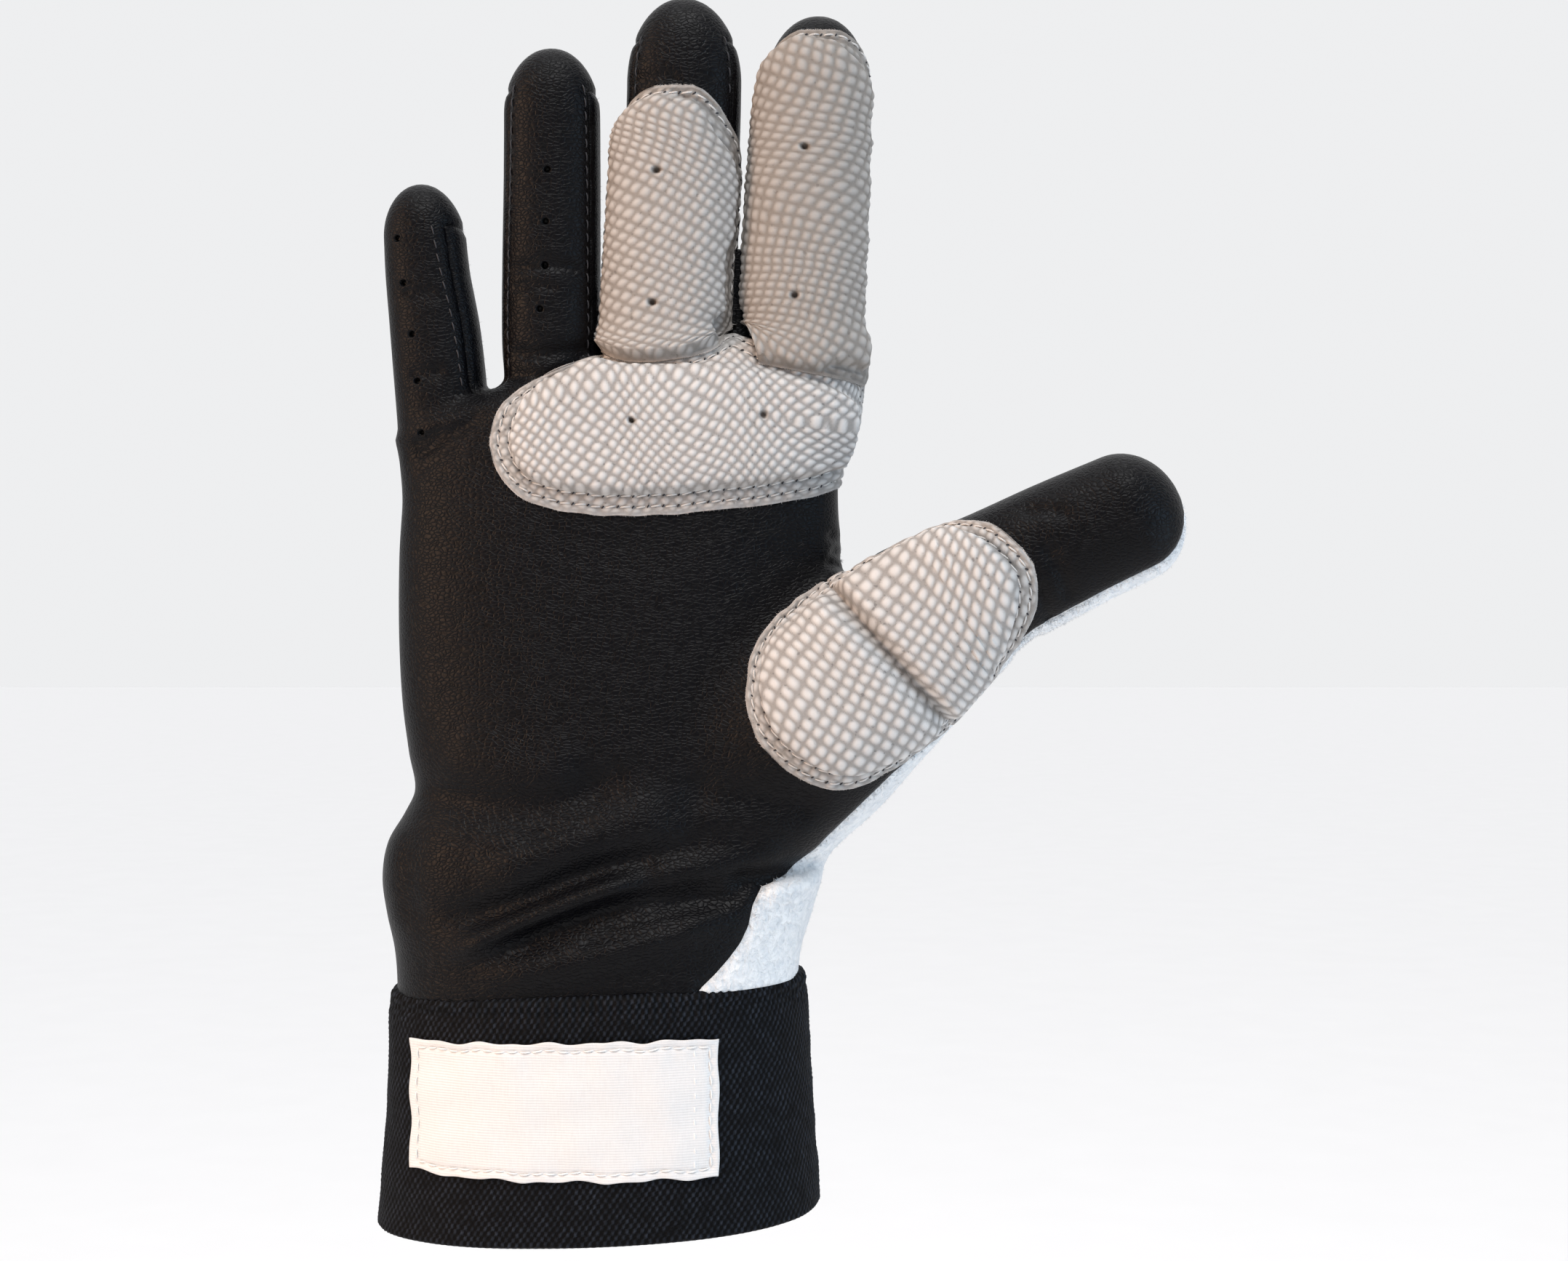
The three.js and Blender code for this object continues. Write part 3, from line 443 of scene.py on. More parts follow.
def make(name, v, faces, material, attributes=None, smooth_faces=True):
    mesh = bpy.data.meshes.new(name)
    v, faces = np.asarray(v, float) * MM, [np.asarray(f) for f in (faces if isinstance(faces, list) else [faces])]
    mesh.vertices.add(len(v))
    mesh.vertices.foreach_set("co", v.ravel())
    sizes = np.concatenate([np.full(len(f), f.shape[1]) for f in faces])
    loops = np.concatenate([f.ravel() for f in faces])
    mesh.loops.add(len(loops))
    mesh.loops.foreach_set("vertex_index", loops.astype(np.int32))
    mesh.polygons.add(len(sizes))
    mesh.polygons.foreach_set("loop_start", np.concatenate([[0], np.cumsum(sizes)[:-1]]).astype(np.int32))
    mesh.polygons.foreach_set("loop_total", sizes.astype(np.int32))
    mesh.update(calc_edges=True)
    mesh.validate()
    mesh.polygons.foreach_set("use_smooth", np.full(len(mesh.polygons), smooth_faces))
    for key, values in (attributes or {}).items():
        if len(values) == len(mesh.vertices):
            mesh.attributes.new(key, "FLOAT", "POINT").data.foreach_set("value", np.asarray(values, np.float32))
    mesh.materials.append(material)
    obj = bpy.data.objects.new(name, mesh)
    bpy.context.scene.collection.objects.link(obj)
    return obj


def nearest(points, targets):
    tree = KDTree(len(targets))
    for i, q in enumerate(targets):
        tree.insert(q, i)
    tree.balance()
    return np.array([tree.find(q)[2] for q in points])


def wander(a, b, seed, scale):
    """Soft repeatable unevenness of two coordinates, about -1 to 1."""
    g = np.random.default_rng(seed)
    out = 0
    for k in range(5):
        ang, f, ph = g.uniform(0, 2 * math.pi), g.uniform(0.6, 1.7) / scale, g.uniform(0, 2 * math.pi)
        out = out + np.sin((a * math.cos(ang) + b * math.sin(ang)) * 2 * math.pi * f + ph)
    return out / 3.2


# ------------------------------------------------------------------ materials
def nodes_of(name):
    m = bpy.data.materials.new(name)
    m.use_nodes = True
    nt = m.node_tree
    return m, nt, nt.nodes["Principled BSDF"]


def node(nt, kind, inputs=(), **props):
    n = nt.nodes.new(kind)
    for k, v in props.items():
        setattr(n, k, v)
    for k, v in dict(inputs).items():
        if hasattr(v, "is_output"):
            nt.links.new(v, n.inputs[k])
        else:
            n.inputs[k].default_value = v
    return n


def ramp(nt, source, *stops):
    r = node(nt, "ShaderNodeValToRGB", {"Fac": source})
    e = r.color_ramp.elements
    while len(e) < len(stops):
        e.new(0.5)
    for s, (at, c) in zip(e, stops):
        s.position = at
        s.color = (*c, 1) if len(c) == 3 else c
    return r.outputs["Color"]


def noise(nt, where, scale, detail=3.0, rough=0.5, distortion=0.0):
    return node(nt, "ShaderNodeTexNoise", {"Vector": where, "Scale": scale, "Detail": detail, "Roughness": rough, "Distortion": distortion}).outputs["Fac"]


def maths(nt, op, a, b=0.0, c=0.0):
    n = node(nt, "ShaderNodeMath", operation=op)
    for i, v in enumerate((a, b, c)):
        if hasattr(v, "is_output"):
            nt.links.new(v, n.inputs[i])
        else:
            n.inputs[i].default_value = v
    return n.outputs[0]


def bump(nt, height, distance, strength=1.0, after=None):
    n = node(nt, "ShaderNodeBump", {"Height": height, "Distance": distance, "Strength": strength})
    if after is not None:
        nt.links.new(after, n.inputs["Normal"])
    return n.outputs["Normal"]


def attribute(nt, name):
    return node(nt, "ShaderNodeAttribute", attribute_name=name).outputs["Fac"]


def mixed(nt, fac, a, b, mode="MIX"):
    n = node(nt, "ShaderNodeMix", data_type="RGBA", blend_type=mode)
    for socket, v in ((n.inputs[0], fac), (n.inputs[6], a), (n.inputs[7], b)):
        if hasattr(v, "is_output"):
            nt.links.new(v, socket)
        else:
            socket.default_value = (*v, 1) if isinstance(v, tuple) and len(v) == 3 else v
    return n.outputs[2]


def coords(nt, stretch=None):
    c = node(nt, "ShaderNodeTexCoord").outputs["Object"]
    if stretch:
        c = node(nt, "ShaderNodeMapping", {"Vector": c, "Scale": stretch}).outputs["Vector"]
    return c


def leather_material():
    m, nt, b = nodes_of("black_leather")
    at = coords(nt)
    soft = node(nt, "ShaderNodeVectorMath", {0: node(nt, "ShaderNodeTexNoise", {"Vector": at, "Scale": 300.0, "Detail": 1.0}).outputs["Color"]}, operation="SCALE")
    soft.inputs["Scale"].default_value = 0.0016
    moved = node(nt, "ShaderNodeVectorMath", {0: at, 1: soft.outputs[0]}, operation="ADD").outputs[0]
    squeezed = node(nt, "ShaderNodeMapping", {"Vector": moved, "Scale": (0.72, 0.9, 1.25)}).outputs["Vector"]
    pebble = node(nt, "ShaderNodeTexVoronoi", {"Vector": squeezed, "Scale": 1150.0, "Randomness": 0.95}, feature="DISTANCE_TO_EDGE").outputs["Distance"]
    pebble = ramp(nt, pebble, (0.0, (0, 0, 0)), (0.13, (0.62, 0.62, 0.62)), (0.4, (1, 1, 1)))
    pores = noise(nt, at, 5200.0, 2.0)
    broad = noise(nt, at, 60.0, 3.0)
    tone = mixed(nt, broad, (0.0006, 0.0006, 0.0014), (0.0016, 0.0016, 0.0028))
    tone = mixed(nt, pebble, (0.0006, 0.0006, 0.0010), tone)
    # painted shade: the leather's colour is darkened inside the punched holes
    tone = mixed(nt, attribute(nt, "painted_recess_shade"), tone, (0.0004, 0.0004, 0.0004))
    nt.links.new(tone, b.inputs["Base Color"])
    rough = maths(nt, "MULTIPLY_ADD", broad, 0.10, 0.35)
    rough = maths(nt, "MULTIPLY_ADD", pores, 0.06, rough)
    nt.links.new(rough, b.inputs["Roughness"])
    b.inputs["Specular IOR Level"].default_value = 0.12
    lines = noise(nt, coords(nt, (0.55, 0.55, 2.0)), 330.0, 4.0, 0.6, 0.8)
    n = bump(nt, lines, 0.00007, 0.45)
    n = bump(nt, pebble, 0.00013, 0.65, n)
    n = bump(nt, pores, 0.00001, 0.3, n)
    nt.links.new(n, b.inputs["Normal"])
    return m


def knit_material():
    m, nt, b = nodes_of("white_brushed_knit")
    at = coords(nt)
    nap = noise(nt, coords(nt, (1.0, 1.0, 0.32)), 2300.0, 4.0, 0.65)
    tufts = noise(nt, at, 620.0, 3.0, 0.6, 0.4)
    broad = noise(nt, at, 40.0, 2.0)
    tone = mixed(nt, ramp(nt, tufts, (0.30, (0, 0, 0)), (0.62, (1, 1, 1))), (0.50, 0.54, 0.58), (0.72, 0.735, 0.745))
    tone = mixed(nt, maths(nt, "MULTIPLY", broad, 0.3), tone, (0.69, 0.715, 0.735))
    nt.links.new(tone, b.inputs["Base Color"])
    b.inputs["Roughness"].default_value = 0.95
    b.inputs["Specular IOR Level"].default_value = 0.15
    b.inputs["Sheen Weight"].default_value = 0.5
    b.inputs["Sheen Roughness"].default_value = 0.5
    n = bump(nt, tufts, 0.0009, 0.9)
    n = bump(nt, nap, 0.00025, 0.9, n)
    nt.links.new(n, b.inputs["Normal"])
    return m


def pad_material():
    m, nt, b = nodes_of("grey_embossed_leather")
    at, high, recess_shade = coords(nt), attribute(nt, "emboss"), attribute(nt, "painted_recess_shade")
    broad, fine = noise(nt, at, 70.0, 3.0), noise(nt, at, 2600.0, 3.0)
    # painted highlight and painted shade: the raised tops of the embossing are coloured much lighter and its grooves
    # much darker, over the real raised ovals
    low = mixed(nt, broad, (0.19, 0.18, 0.17), (0.235, 0.225, 0.215))
    top = mixed(nt, broad, (0.515, 0.505, 0.495), (0.595, 0.585, 0.575))
    fac = ramp(nt, high, (0.0, (0, 0, 0)), (0.35, (0.45, 0.45, 0.45)), (1.0, (1, 1, 1)))
    tone = mixed(nt, fac, low, top)
    tone = mixed(nt, maths(nt, "MULTIPLY", fine, 0.4), tone, (0.44, 0.42, 0.405))
    specks = ramp(nt, noise(nt, at, 900.0, 2.0), (0.64, (0, 0, 0)), (0.72, (1, 1, 1)))
    tone = mixed(nt, maths(nt, "MULTIPLY", maths(nt, "SUBTRACT", 1.0, fac), maths(nt, "MULTIPLY", specks, 0.6)), tone, (0.10, 0.095, 0.095))
    ragged = ramp(nt, noise(nt, at, 700.0, 3.0), (0.35, (0, 0, 0)), (0.6, (1, 1, 1)))
    tone = mixed(nt, maths(nt, "MULTIPLY", attribute(nt, "raw"), maths(nt, "MULTIPLY_ADD", ragged, 0.5, 0.15)), tone, (0.58, 0.56, 0.55))
    # painted shade: the finger pads' colour is darkened and browned, the index pad most, for the lesser light on the
    # upper pads
    tone = mixed(nt, attribute(nt, "painted_shade"), tone, (0.14, 0.115, 0.09))
    # painted shade in the pads' punched holes and in the thumb pad's crease
    tone = mixed(nt, recess_shade, tone, (0.085, 0.07, 0.06))
    nt.links.new(tone, b.inputs["Base Color"])
    nt.links.new(maths(nt, "MULTIPLY_ADD", fac, -0.12, 0.72), b.inputs["Roughness"])
    b.inputs["Specular IOR Level"].default_value = 0.3
    nt.links.new(bump(nt, fine, 0.00006, 0.6), b.inputs["Normal"])
    return m


def plain_material(name, tone, rough, scale=900.0, deep=0.00012, spread=0.25, sheen=0.0, stretch=None):
    m, nt, b = nodes_of(name)
    grain = noise(nt, coords(nt, stretch), scale, 3.0)
    dark = tuple(c * (1 - spread) for c in tone)
    nt.links.new(mixed(nt, grain, dark, tone), b.inputs["Base Color"])
    b.inputs["Roughness"].default_value = rough
    b.inputs["Specular IOR Level"].default_value = 0.3
    if sheen:
        b.inputs["Sheen Weight"].default_value = sheen
    nt.links.new(bump(nt, grain, deep, 0.8), b.inputs["Normal"])
    return m


def elastic_material():
    m, nt, b = nodes_of("black_knitted_elastic")
    at = coords(nt)
    yarn = noise(nt, at, 2400.0, 3.0, 0.7)
    glint_patches = noise(nt, at, 420.0, 3.0, 0.6)
    # painted glints on the loops' tops, in patches, and painted shade in the recesses between the loops
    loop = ramp(nt, attribute(nt, "loop"), (0.42, (0, 0, 0)), (0.95, (1, 1, 1)))
    tone = mixed(nt, maths(nt, "MULTIPLY", loop, maths(nt, "MULTIPLY_ADD", glint_patches, 2.2, -0.5)), (0.0003, 0.0003, 0.0006), (0.024, 0.030, 0.042))
    nt.links.new(tone, b.inputs["Base Color"])
    b.inputs["Roughness"].default_value = 0.7
    b.inputs["Specular IOR Level"].default_value = 0.10
    nt.links.new(bump(nt, yarn, 0.00014, 0.8), b.inputs["Normal"])
    return m


LEATHER, KNIT, PAD, ELASTIC = leather_material(), knit_material(), pad_material(), elastic_material()
BLACK_THREAD = plain_material("black_thread", (0.03, 0.03, 0.035), 0.6, 3000.0)
GREY_THREAD = plain_material("grey_thread", (0.62, 0.60, 0.58), 0.7, 3000.0, spread=0.2)
WHITE_THREAD = plain_material("white_thread", (0.82, 0.81, 0.79), 0.7, 3000.0, spread=0.15)

pieces = []


def piece(obj, slot, *replaced):
    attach(obj, "root")
    if replaced:
        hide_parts(*replaced)
    pieces.append(obj)
    return obj


# ------------------------------------------------------------------ body panels
VOXEL = 1.15
verts, quads = surface_nets(field, (-50.4, -42.3, 42.5), (124, 30, 253), VOXEL)
tris = triangles(quads)
verts, _ = settle(verts, 2)
for _ in range(2):
    verts, _ = settle(relax(verts, tris), 1)

# punched air holes in the two plain fingers: place in the picture and depth
PUNCHED = [(546, 328, -9), (554, 389, -9), (564, 458, -10), (571, 522, -10), (575, 593, -12),
           (753, 234, -12), (750, 304, -12), (748, 363, -12), (741, 423, -12)]
punched = np.array([px(*h) for h in PUNCHED])


def from_holes(p):
    d = np.hypot(p[:, None, 0] - punched[None, :, 0], p[:, None, 2] - punched[None, :, 1]).min(1)
    return np.where(p[:, 1] < curl(p[:, 2]), d, 99.0)


def near_folds(p):
    q = np.zeros(len(p))
    for line, high, wide in FOLDS:
        if wide > 1.7:
            continue
        for a, b in zip(line[:-1], line[1:]):
            e = b - a
            t = np.clip(((p[:, 0] - a[0]) * e[0] + (p[:, 2] - a[1]) * e[1]) / (e @ e), 0, 1)
            d = np.hypot(p[:, 0] - a[0] - t * e[0], p[:, 2] - a[1] - t * e[1])
            q = np.maximum(q, (d < 2.4 * wide) & (p[:, 1] < 0))
    return q > 0


verts, tris = refine(verts, tris, near_folds)
for radius in (2.0, 1.5, 1.1):
    verts, tris = refine(verts, tris, lambda p: from_holes(p) < radius)
verts, _ = settle(verts, 1)
seams = []


def split(v, t, phi_of, seam=True):
    """Both sides of a cut: below 0 and above 0."""
    phi = phi_of(v)
    va, ta, fresh = clip(v, t, phi)
    vb, tb, _ = clip(v, t, -phi)
    if seam:
        seams.append(fresh)
    return (va, ta), (vb, tb)


def polygon_side(p, line):
    """Signed distance to an open line in x and z, above 0 on its right and below side."""
    x, z = p[:, 0], p[:, 2]
    best, sign = np.full(len(x), 1e9), np.ones(len(x))
    for a, b in zip(line[:-1], line[1:]):
        e = b - a
        t = np.clip(((x - a[0]) * e[0] + (z - a[1]) * e[1]) / (e @ e), 0, 1)
        d = np.hypot(x - a[0] - t * e[0], z - a[1] - t * e[1])
        c = (x - a[0]) * e[1] - (z - a[1]) * e[0]
        nearer = d < best - 1e-9
        best, sign = np.where(nearer, d, best), np.where(nearer, np.sign(c), sign)
    return best * sign


def thumb_side(p):
    (x0, z0), (x1, z1) = THUMB_CUT
    l = math.hypot(x1 - x0, z1 - z0)
    lower = (-(p[:, 0] - x0) * (z1 - z0) + (p[:, 2] - z0) * (x1 - x0)) / l
    upper = ((p[:, 0] - x0) * 9 - (p[:, 2] - z0) * 3.4) / math.hypot(9, 3.4)
    return np.minimum(lower, upper)


def knit_hand(p):
    # near the thumb the edge runs on into the thumb's own seam
    s, v, _ = thumb_place(p[:, 0], p[:, 2])
    near = smooth((p[:, 0] - 36) / 12) * smooth((129 - p[:, 2]) / 9) * smooth((p[:, 2] - 68) / 8)
    thumb = THUMB["y"](s) - THUMB_SEAM * np.clip(v / THUMB["w"](s), -1, 1)
    seam = (curl(p[:, 2]) + WRAP) * (1 - near) + thumb * near
    return np.maximum(p[:, 1] - seam, polygon_side(p, KNIT_EDGE))


def knit_thumb(p):
    s, v, _ = thumb_place(p[:, 0], p[:, 2])
    return p[:, 1] - (THUMB["y"](s) - THUMB_SEAM * v / THUMB["w"](s))


STRIP_FRONT = {"pinky": 6.3, "ring": 5.2, "middle": 5.2, "index": 5.2}


def strip_field(left, right):
    L, R = FINGERS[left], FINGERS[right]

    def phi(p):
        x, y, z = p.T
        xl, wl, xr, wr = L["rows"]["x"](z), L["rows"]["w"](z), R["rows"]["x"](z), R["rows"]["w"](z)
        top = np.minimum(z, 1e9)
        mid = (xl + wl + xr - wr) / 2
        dy = y - curl(z)
        a = np.minimum.reduce([x - (xl + 0.42 * wl), dy + STRIP_FRONT[left], 2.7 - dy, L["tip"] - 9 - top, z - 158])
        b = np.minimum.reduce([(xr - 0.42 * wr) - x, dy + STRIP_FRONT[right], 2.7 - dy, R["tip"] - 9 - top, z - 158])
        out = np.where(x < mid, a, b)
        return -np.where((x > xl) & (x < xr), out, -5.0)
    return phi


# the hand's panels end under the cuff's upper rim
verts, tris, _ = clip(verts, tris, (47.4 + CUFF_TILT * verts[:, 0]) - verts[:, 2])
thumb_part, hand_part = split(verts, tris, lambda p: -thumb_side(p))
strip_parts = {}
for l, r in (("pinky", "ring"), ("ring", "middle"), ("middle", "index")):
    strip_parts[f"side_strip_{r}_{l}"], hand_part = split(*hand_part, strip_field(l, r))
palm_part, back_part = split(*hand_part, knit_hand)
thumb_front, thumb_back = split(*thumb_part, knit_thumb)
seam_points = np.concatenate(seams)
SEAM_DEEP, SEAM_WIDE = 0.45, 0.8


def panel(name, part, material, slot, depth=1.2, puff=0.0):
    v, t = part
    g = slope_of(v)
    n = g / np.maximum(np.linalg.norm(g, axis=1, keepdims=True), 1e-9)
    d = nearest(v, seam_points)
    drop = SEAM_DEEP * np.exp(-(d / SEAM_WIDE) ** 2) - puff * (1 - np.exp(-(d / 2.2) ** 2))
    h = from_holes(v) if name == "palm_panel" else np.full(len(v), 99.0)
    drop = drop + 0.95 * (1 - smooth((h - 0.28) / 0.5)) - 0.07 * np.exp(-((h - 1.05) / 0.3) ** 2)
    # painted shade inside the punched holes, for the colour
    painted_recess_shade = 1 - smooth((h - 0.4) / 0.35)
    out = v - n * drop[:, None]
    vv, tt = thick(out, t, n, depth)
    return piece(make(name, vv, tt, material, {"seam": np.concatenate([d, d]), "painted_recess_shade": np.concatenate([painted_recess_shade, painted_recess_shade])}), slot, name)


panel("palm_panel", palm_part, LEATHER, "black_leather")
panel("back_panel", back_part, KNIT, "white_knit", 1.4, 0.15)
for name, part in strip_parts.items():
    panel(name, part, LEATHER, "black_leather", 1.0)
panel("thumb_panel", thumb_front, LEATHER, "black_leather")
panel("thumb_back", thumb_back, KNIT, "white_knit", 1.4, 0.15)


# ------------------------------------------------------------------ stitches
def stitches(line, normals, pitch=3.0, length=2.5, radius=0.2, lift=0.12, slant=0.12, offset=0.5, keep=None):
    """Sewn stitches along a line on a surface, as one joined mesh."""
    step = np.linalg.norm(np.diff(line, axis=0), axis=1)
    run = np.concatenate([[0], np.cumsum(step)])
    count = max(1, int(run[-1] / pitch))
    prof = np.array([(-0.5, 0.45, -1.2), (-0.36, 0.85, -0.1), (-0.12, 1.0, 0.75), (0.12, 1.0, 0.75), (0.36, 0.85, -0.1), (0.5, 0.45, -1.2)])
    V, F, sides = [], [], 6
    ang = np.arange(sides) * 2 * math.pi / sides
    for i in range(count):
        s = (i + offset) * run[-1] / count
        c = np.array([np.interp(s, run, line[:, k]) for k in range(3)])
        if keep is not None and not keep(c):
            continue
        ahead = np.array([np.interp(min(s + 0.4, run[-1]), run, line[:, k]) for k in range(3)])
        behind = np.array([np.interp(max(s - 0.4, 0), run, line[:, k]) for k in range(3)])
        n = np.array([np.interp(s, run, normals[:, k]) for k in range(3)])
        n /= np.linalg.norm(n)
        t = ahead - behind
        t -= n * (t @ n)
        t /= max(np.linalg.norm(t), 1e-9)
        b = np.cross(n, t)
        t2 = t * math.cos(slant) + b * math.sin(slant)
        b2 = np.cross(n, t2)
        base = len(V) * len(prof) * sides
        ring = [c + t2 * (q * length) + n * (lift + h * radius) + (b2 * np.cos(ang)[:, None] + n * np.sin(ang)[:, None]) * (r * radius) for q, r, h in prof]
        V.append(np.concatenate(ring))
        for k in range(len(prof) - 1):
            for j in range(sides):
                a0, a1 = base + k * sides + j, base + k * sides + (j + 1) % sides
                F.append((a0, a1, a1 + sides, a0 + sides))
        end = base + (len(prof) - 1) * sides
        for q in ((0, 1, 2, 3), (0, 3, 4, 5)):
            F.append(tuple(base + j for j in reversed(q)))
            F.append(tuple(end + j for j in q))
    return np.concatenate(V), np.array(F)


def join(parts):
    V, F, at = [], [], 0
    for v, f in parts:
        V.append(v)
        F.append(f + at)
        at += len(v)
    return np.concatenate(V), np.concatenate(F)


def ellipse_point(w, f, n, degrees):
    """Place on a rounded section at an angle from the front's middle: x and y."""
    a = np.radians(degrees)
    s, c = np.sin(a), np.cos(a)
    return w * np.sign(s) * np.abs(s) ** (2 / n), -f * np.sign(c) * np.abs(c) ** (2 / n)


def finger_seam(F, side, front, z0, z1, count=60):
    z = np.linspace(z0, z1, count)
    r = F["rows"]
    y = -(front + 1.15)
    x = r["w"](z) * np.clip(1 - (np.abs(y) / r["f"](z)) ** F["n"], 0.02, 1) ** (1 / F["n"])
    return settle(np.stack([r["x"](z) + side * x, curl(z) + y, z], 1))


rows = []
for key, side, z0, z1 in (("pinky", 1, 168, 201), ("ring", 1, 172, 229), ("ring", -1, 172, 229), ("middle", 1, 226, 239), ("middle", -1, 226, 239), ("index", -1, 226, 235)):
    line, n = finger_seam(FINGERS[key], side, STRIP_FRONT[key], z0, z1)
    rows.append(stitches(line, n, 2.6, 2.0, 0.17, 0.02, 0.1))
v, f = join(rows)
piece(make("finger_seam_stitches", v, f, BLACK_THREAD), "black_leather")


# ------------------------------------------------------------------ pads
HOLES = {
    "knuckle_pad": [(867, 578, -22), (1045, 568, -22)],
    "middle_finger_pad": [(907, 230, -18), (900, 413, -16)],
    "index_finger_pad": [(1108, 198, -18), (1095, 403, -16)],
    "thumb_pad": [],
}


def emboss(a, b, seed, pitch):
    """Raised ovals in a net of narrow grooves: 0 in the grooves, 1 on top. pitch is the repeat both ways."""
    wa = a + 1.5 * wander(a, b, seed, 36.0) + 0.10 * wander(a, b, seed + 3, 5.0)
    wb = b + 1.5 * wander(a, b, seed + 1, 33.0) + 0.10 * wander(a, b, seed + 4, 5.0)
    cell = np.abs(np.cos(math.pi * wa / pitch) * np.cos(math.pi * wb / pitch))
    return smooth((cell + 0.07 * wander(a, b, seed + 2, 4.0) - 0.04) / 0.92)


def pad(name, base, normals, puff, flange, rows_at, turn=0.0, seed=1, pitch=1.85, valley=None, sink=None, lift=None, puffy=None, across=False, painted_shade=0.0):
    """A sewn patch over foam on a grid of surface points. base is (nu, nv, 3), lift raises both its skins."""
    nu, nv = base.shape[:2]
    P, N = base.reshape(-1, 3), normals.reshape(-1, 3)
    # lengths along both ways of the grid, so that the embossing keeps its size
    du = np.linalg.norm(np.diff(base, axis=0), axis=2)
    dv = np.linalg.norm(np.diff(base, axis=1), axis=2)
    mid = nv // 2
    u_run = np.concatenate([[0], np.cumsum(du[:, mid])])
    v_run = np.concatenate([np.zeros((nu, 1)), np.cumsum(dv, axis=1)], 1)
    v_run -= v_run[:, mid:mid + 1]
    a0, b0 = v_run.ravel(), np.repeat(u_run, nv)
    if across:
        a0, b0 = b0, a0
    a, b = a0 * math.cos(turn) - b0 * math.sin(turn), a0 * math.sin(turn) + b0 * math.cos(turn)
    edge = np.concatenate([base[0], base[-1], base[:, 0], base[:, -1]])
    e = nearest(P, edge)
    width = flange if np.isscalar(flange) else flange.ravel()
    # the foam starts with a steep step off the flange and then domes
    rise = smooth((e - width) / 1.1) * 0.42 + 0.58 * np.sqrt(np.clip(1 - (1 - np.clip((e - width) / 7.5, 0, 1)) ** 2, 0, 1))
    rise = np.where(e < width, 0, rise)
    if valley is not None:
        rise = rise * valley.ravel()
    if puffy is not None:
        rise = rise * puffy.ravel()
    sewn = np.ones(len(P)) if np.isscalar(flange) else smooth((width - 1.2) / 0.8)
    seam = sewn * np.clip(sum(np.exp(-((e - q) / 0.42) ** 2) for q in rows_at), 0, 1)
    foot = np.exp(-((e - width) / 0.7) ** 2)
    pattern = emboss(a, b, seed, pitch) * smooth((e - 0.3) / 0.9) * (1 - 0.6 * seam) * (1 - 0.3 * smooth((width - e) / 0.8))
    top = 0.95 + puff * rise - 0.30 * seam - 0.12 * foot + 0.30 * (pattern - 0.5)
    top += (0.18 * wander(a, b, seed + 5, 6.0) + 0.10 * wander(a, b, seed + 6, 2.6)) * np.exp(-(e / 2.8) ** 2)
    top *= smooth(e / 0.5) * 0.55 + 0.45
    raw = np.exp(-(e / 0.38) ** 2)
    # the colour gets painted shade in the punched holes and in the thumb pad's crease
    painted_recess_shade = np.zeros(len(P))
    for u, v, y in HOLES[name]:
        hx, hz = px(u, v, y)
        r = np.hypot(P[:, 0] - hx, P[:, 2] - hz)
        r = np.where(P[:, 1] < 5, r, 99)
        painted_recess_shade = np.maximum(painted_recess_shade, 1 - smooth((r - 0.45) / 0.45))
        top -= 1.1 * (1 - smooth((r - 0.25) / 0.65)) - 0.10 * np.exp(-((r - 1.15) / 0.3) ** 2)
    if sink is not None:
        top -= sink.ravel()
        painted_recess_shade = np.maximum(painted_recess_shade, 0.75 * np.clip(sink.ravel(), 0, 1) ** 2)
    up = np.zeros(len(P)) if lift is None else lift.ravel()
    outer = P + N * (top + up)[:, None]
    g = np.arange(nu * nv).reshape(nu, nv)
    q = np.stack([g[:-1, :-1], g[1:, :-1], g[1:, 1:], g[:-1, 1:]], -1).reshape(-1, 4)
    mid_q = q[(nu // 2) * (nv - 1) + nv // 2]
    n = np.cross(P[mid_q[1]] - P[mid_q[0]], P[mid_q[3]] - P[mid_q[0]]) @ N[mid_q[0]]
    # the underside has every third line of the grid
    sub = g[::3, ::3]
    low = (P + N * (up - 0.10)[:, None])[sub.ravel()]
    k = nu * nv + np.arange(sub.size).reshape(sub.shape)
    under = np.stack([k[:-1, :-1], k[1:, :-1], k[1:, 1:], k[:-1, 1:]], -1).reshape(-1, 4)
    loop, short = (np.concatenate([w[0, :-1], w[:-1, -1], w[-1, :0:-1], w[:0:-1, 0]]) for w in (g, k))
    f0, f1, f2, f3 = loop[::3], loop[1::3], loop[2::3], np.roll(loop[::3], -1)
    c0, c1 = short, np.roll(short, -1)
    side = np.concatenate([np.stack(w, 1) for w in ((f0, f1, c0), (f1, c1, c0), (f1, f2, c1), (f2, f3, c1))])
    if n < 0:
        q, under = q[:, ::-1], under[:, ::-1]
    else:
        side = side[:, ::-1]
    zero = np.zeros(len(low))
    obj = make(name, np.concatenate([outer, low]), [q, under[:, ::-1], side], PAD, {
        "emboss": np.concatenate([pattern, zero]), "painted_recess_shade": np.concatenate([painted_recess_shade, zero]), "raw": np.concatenate([raw, zero + 1]),
        "painted_shade": np.full(len(outer) + len(low), painted_shade)})
    piece(obj, "grey_pad_leather", name)
    return dict(P=P, N=N, e=e, top=top, a=a, b=b, grid=g, base=base, outer=outer, sewn=sewn)


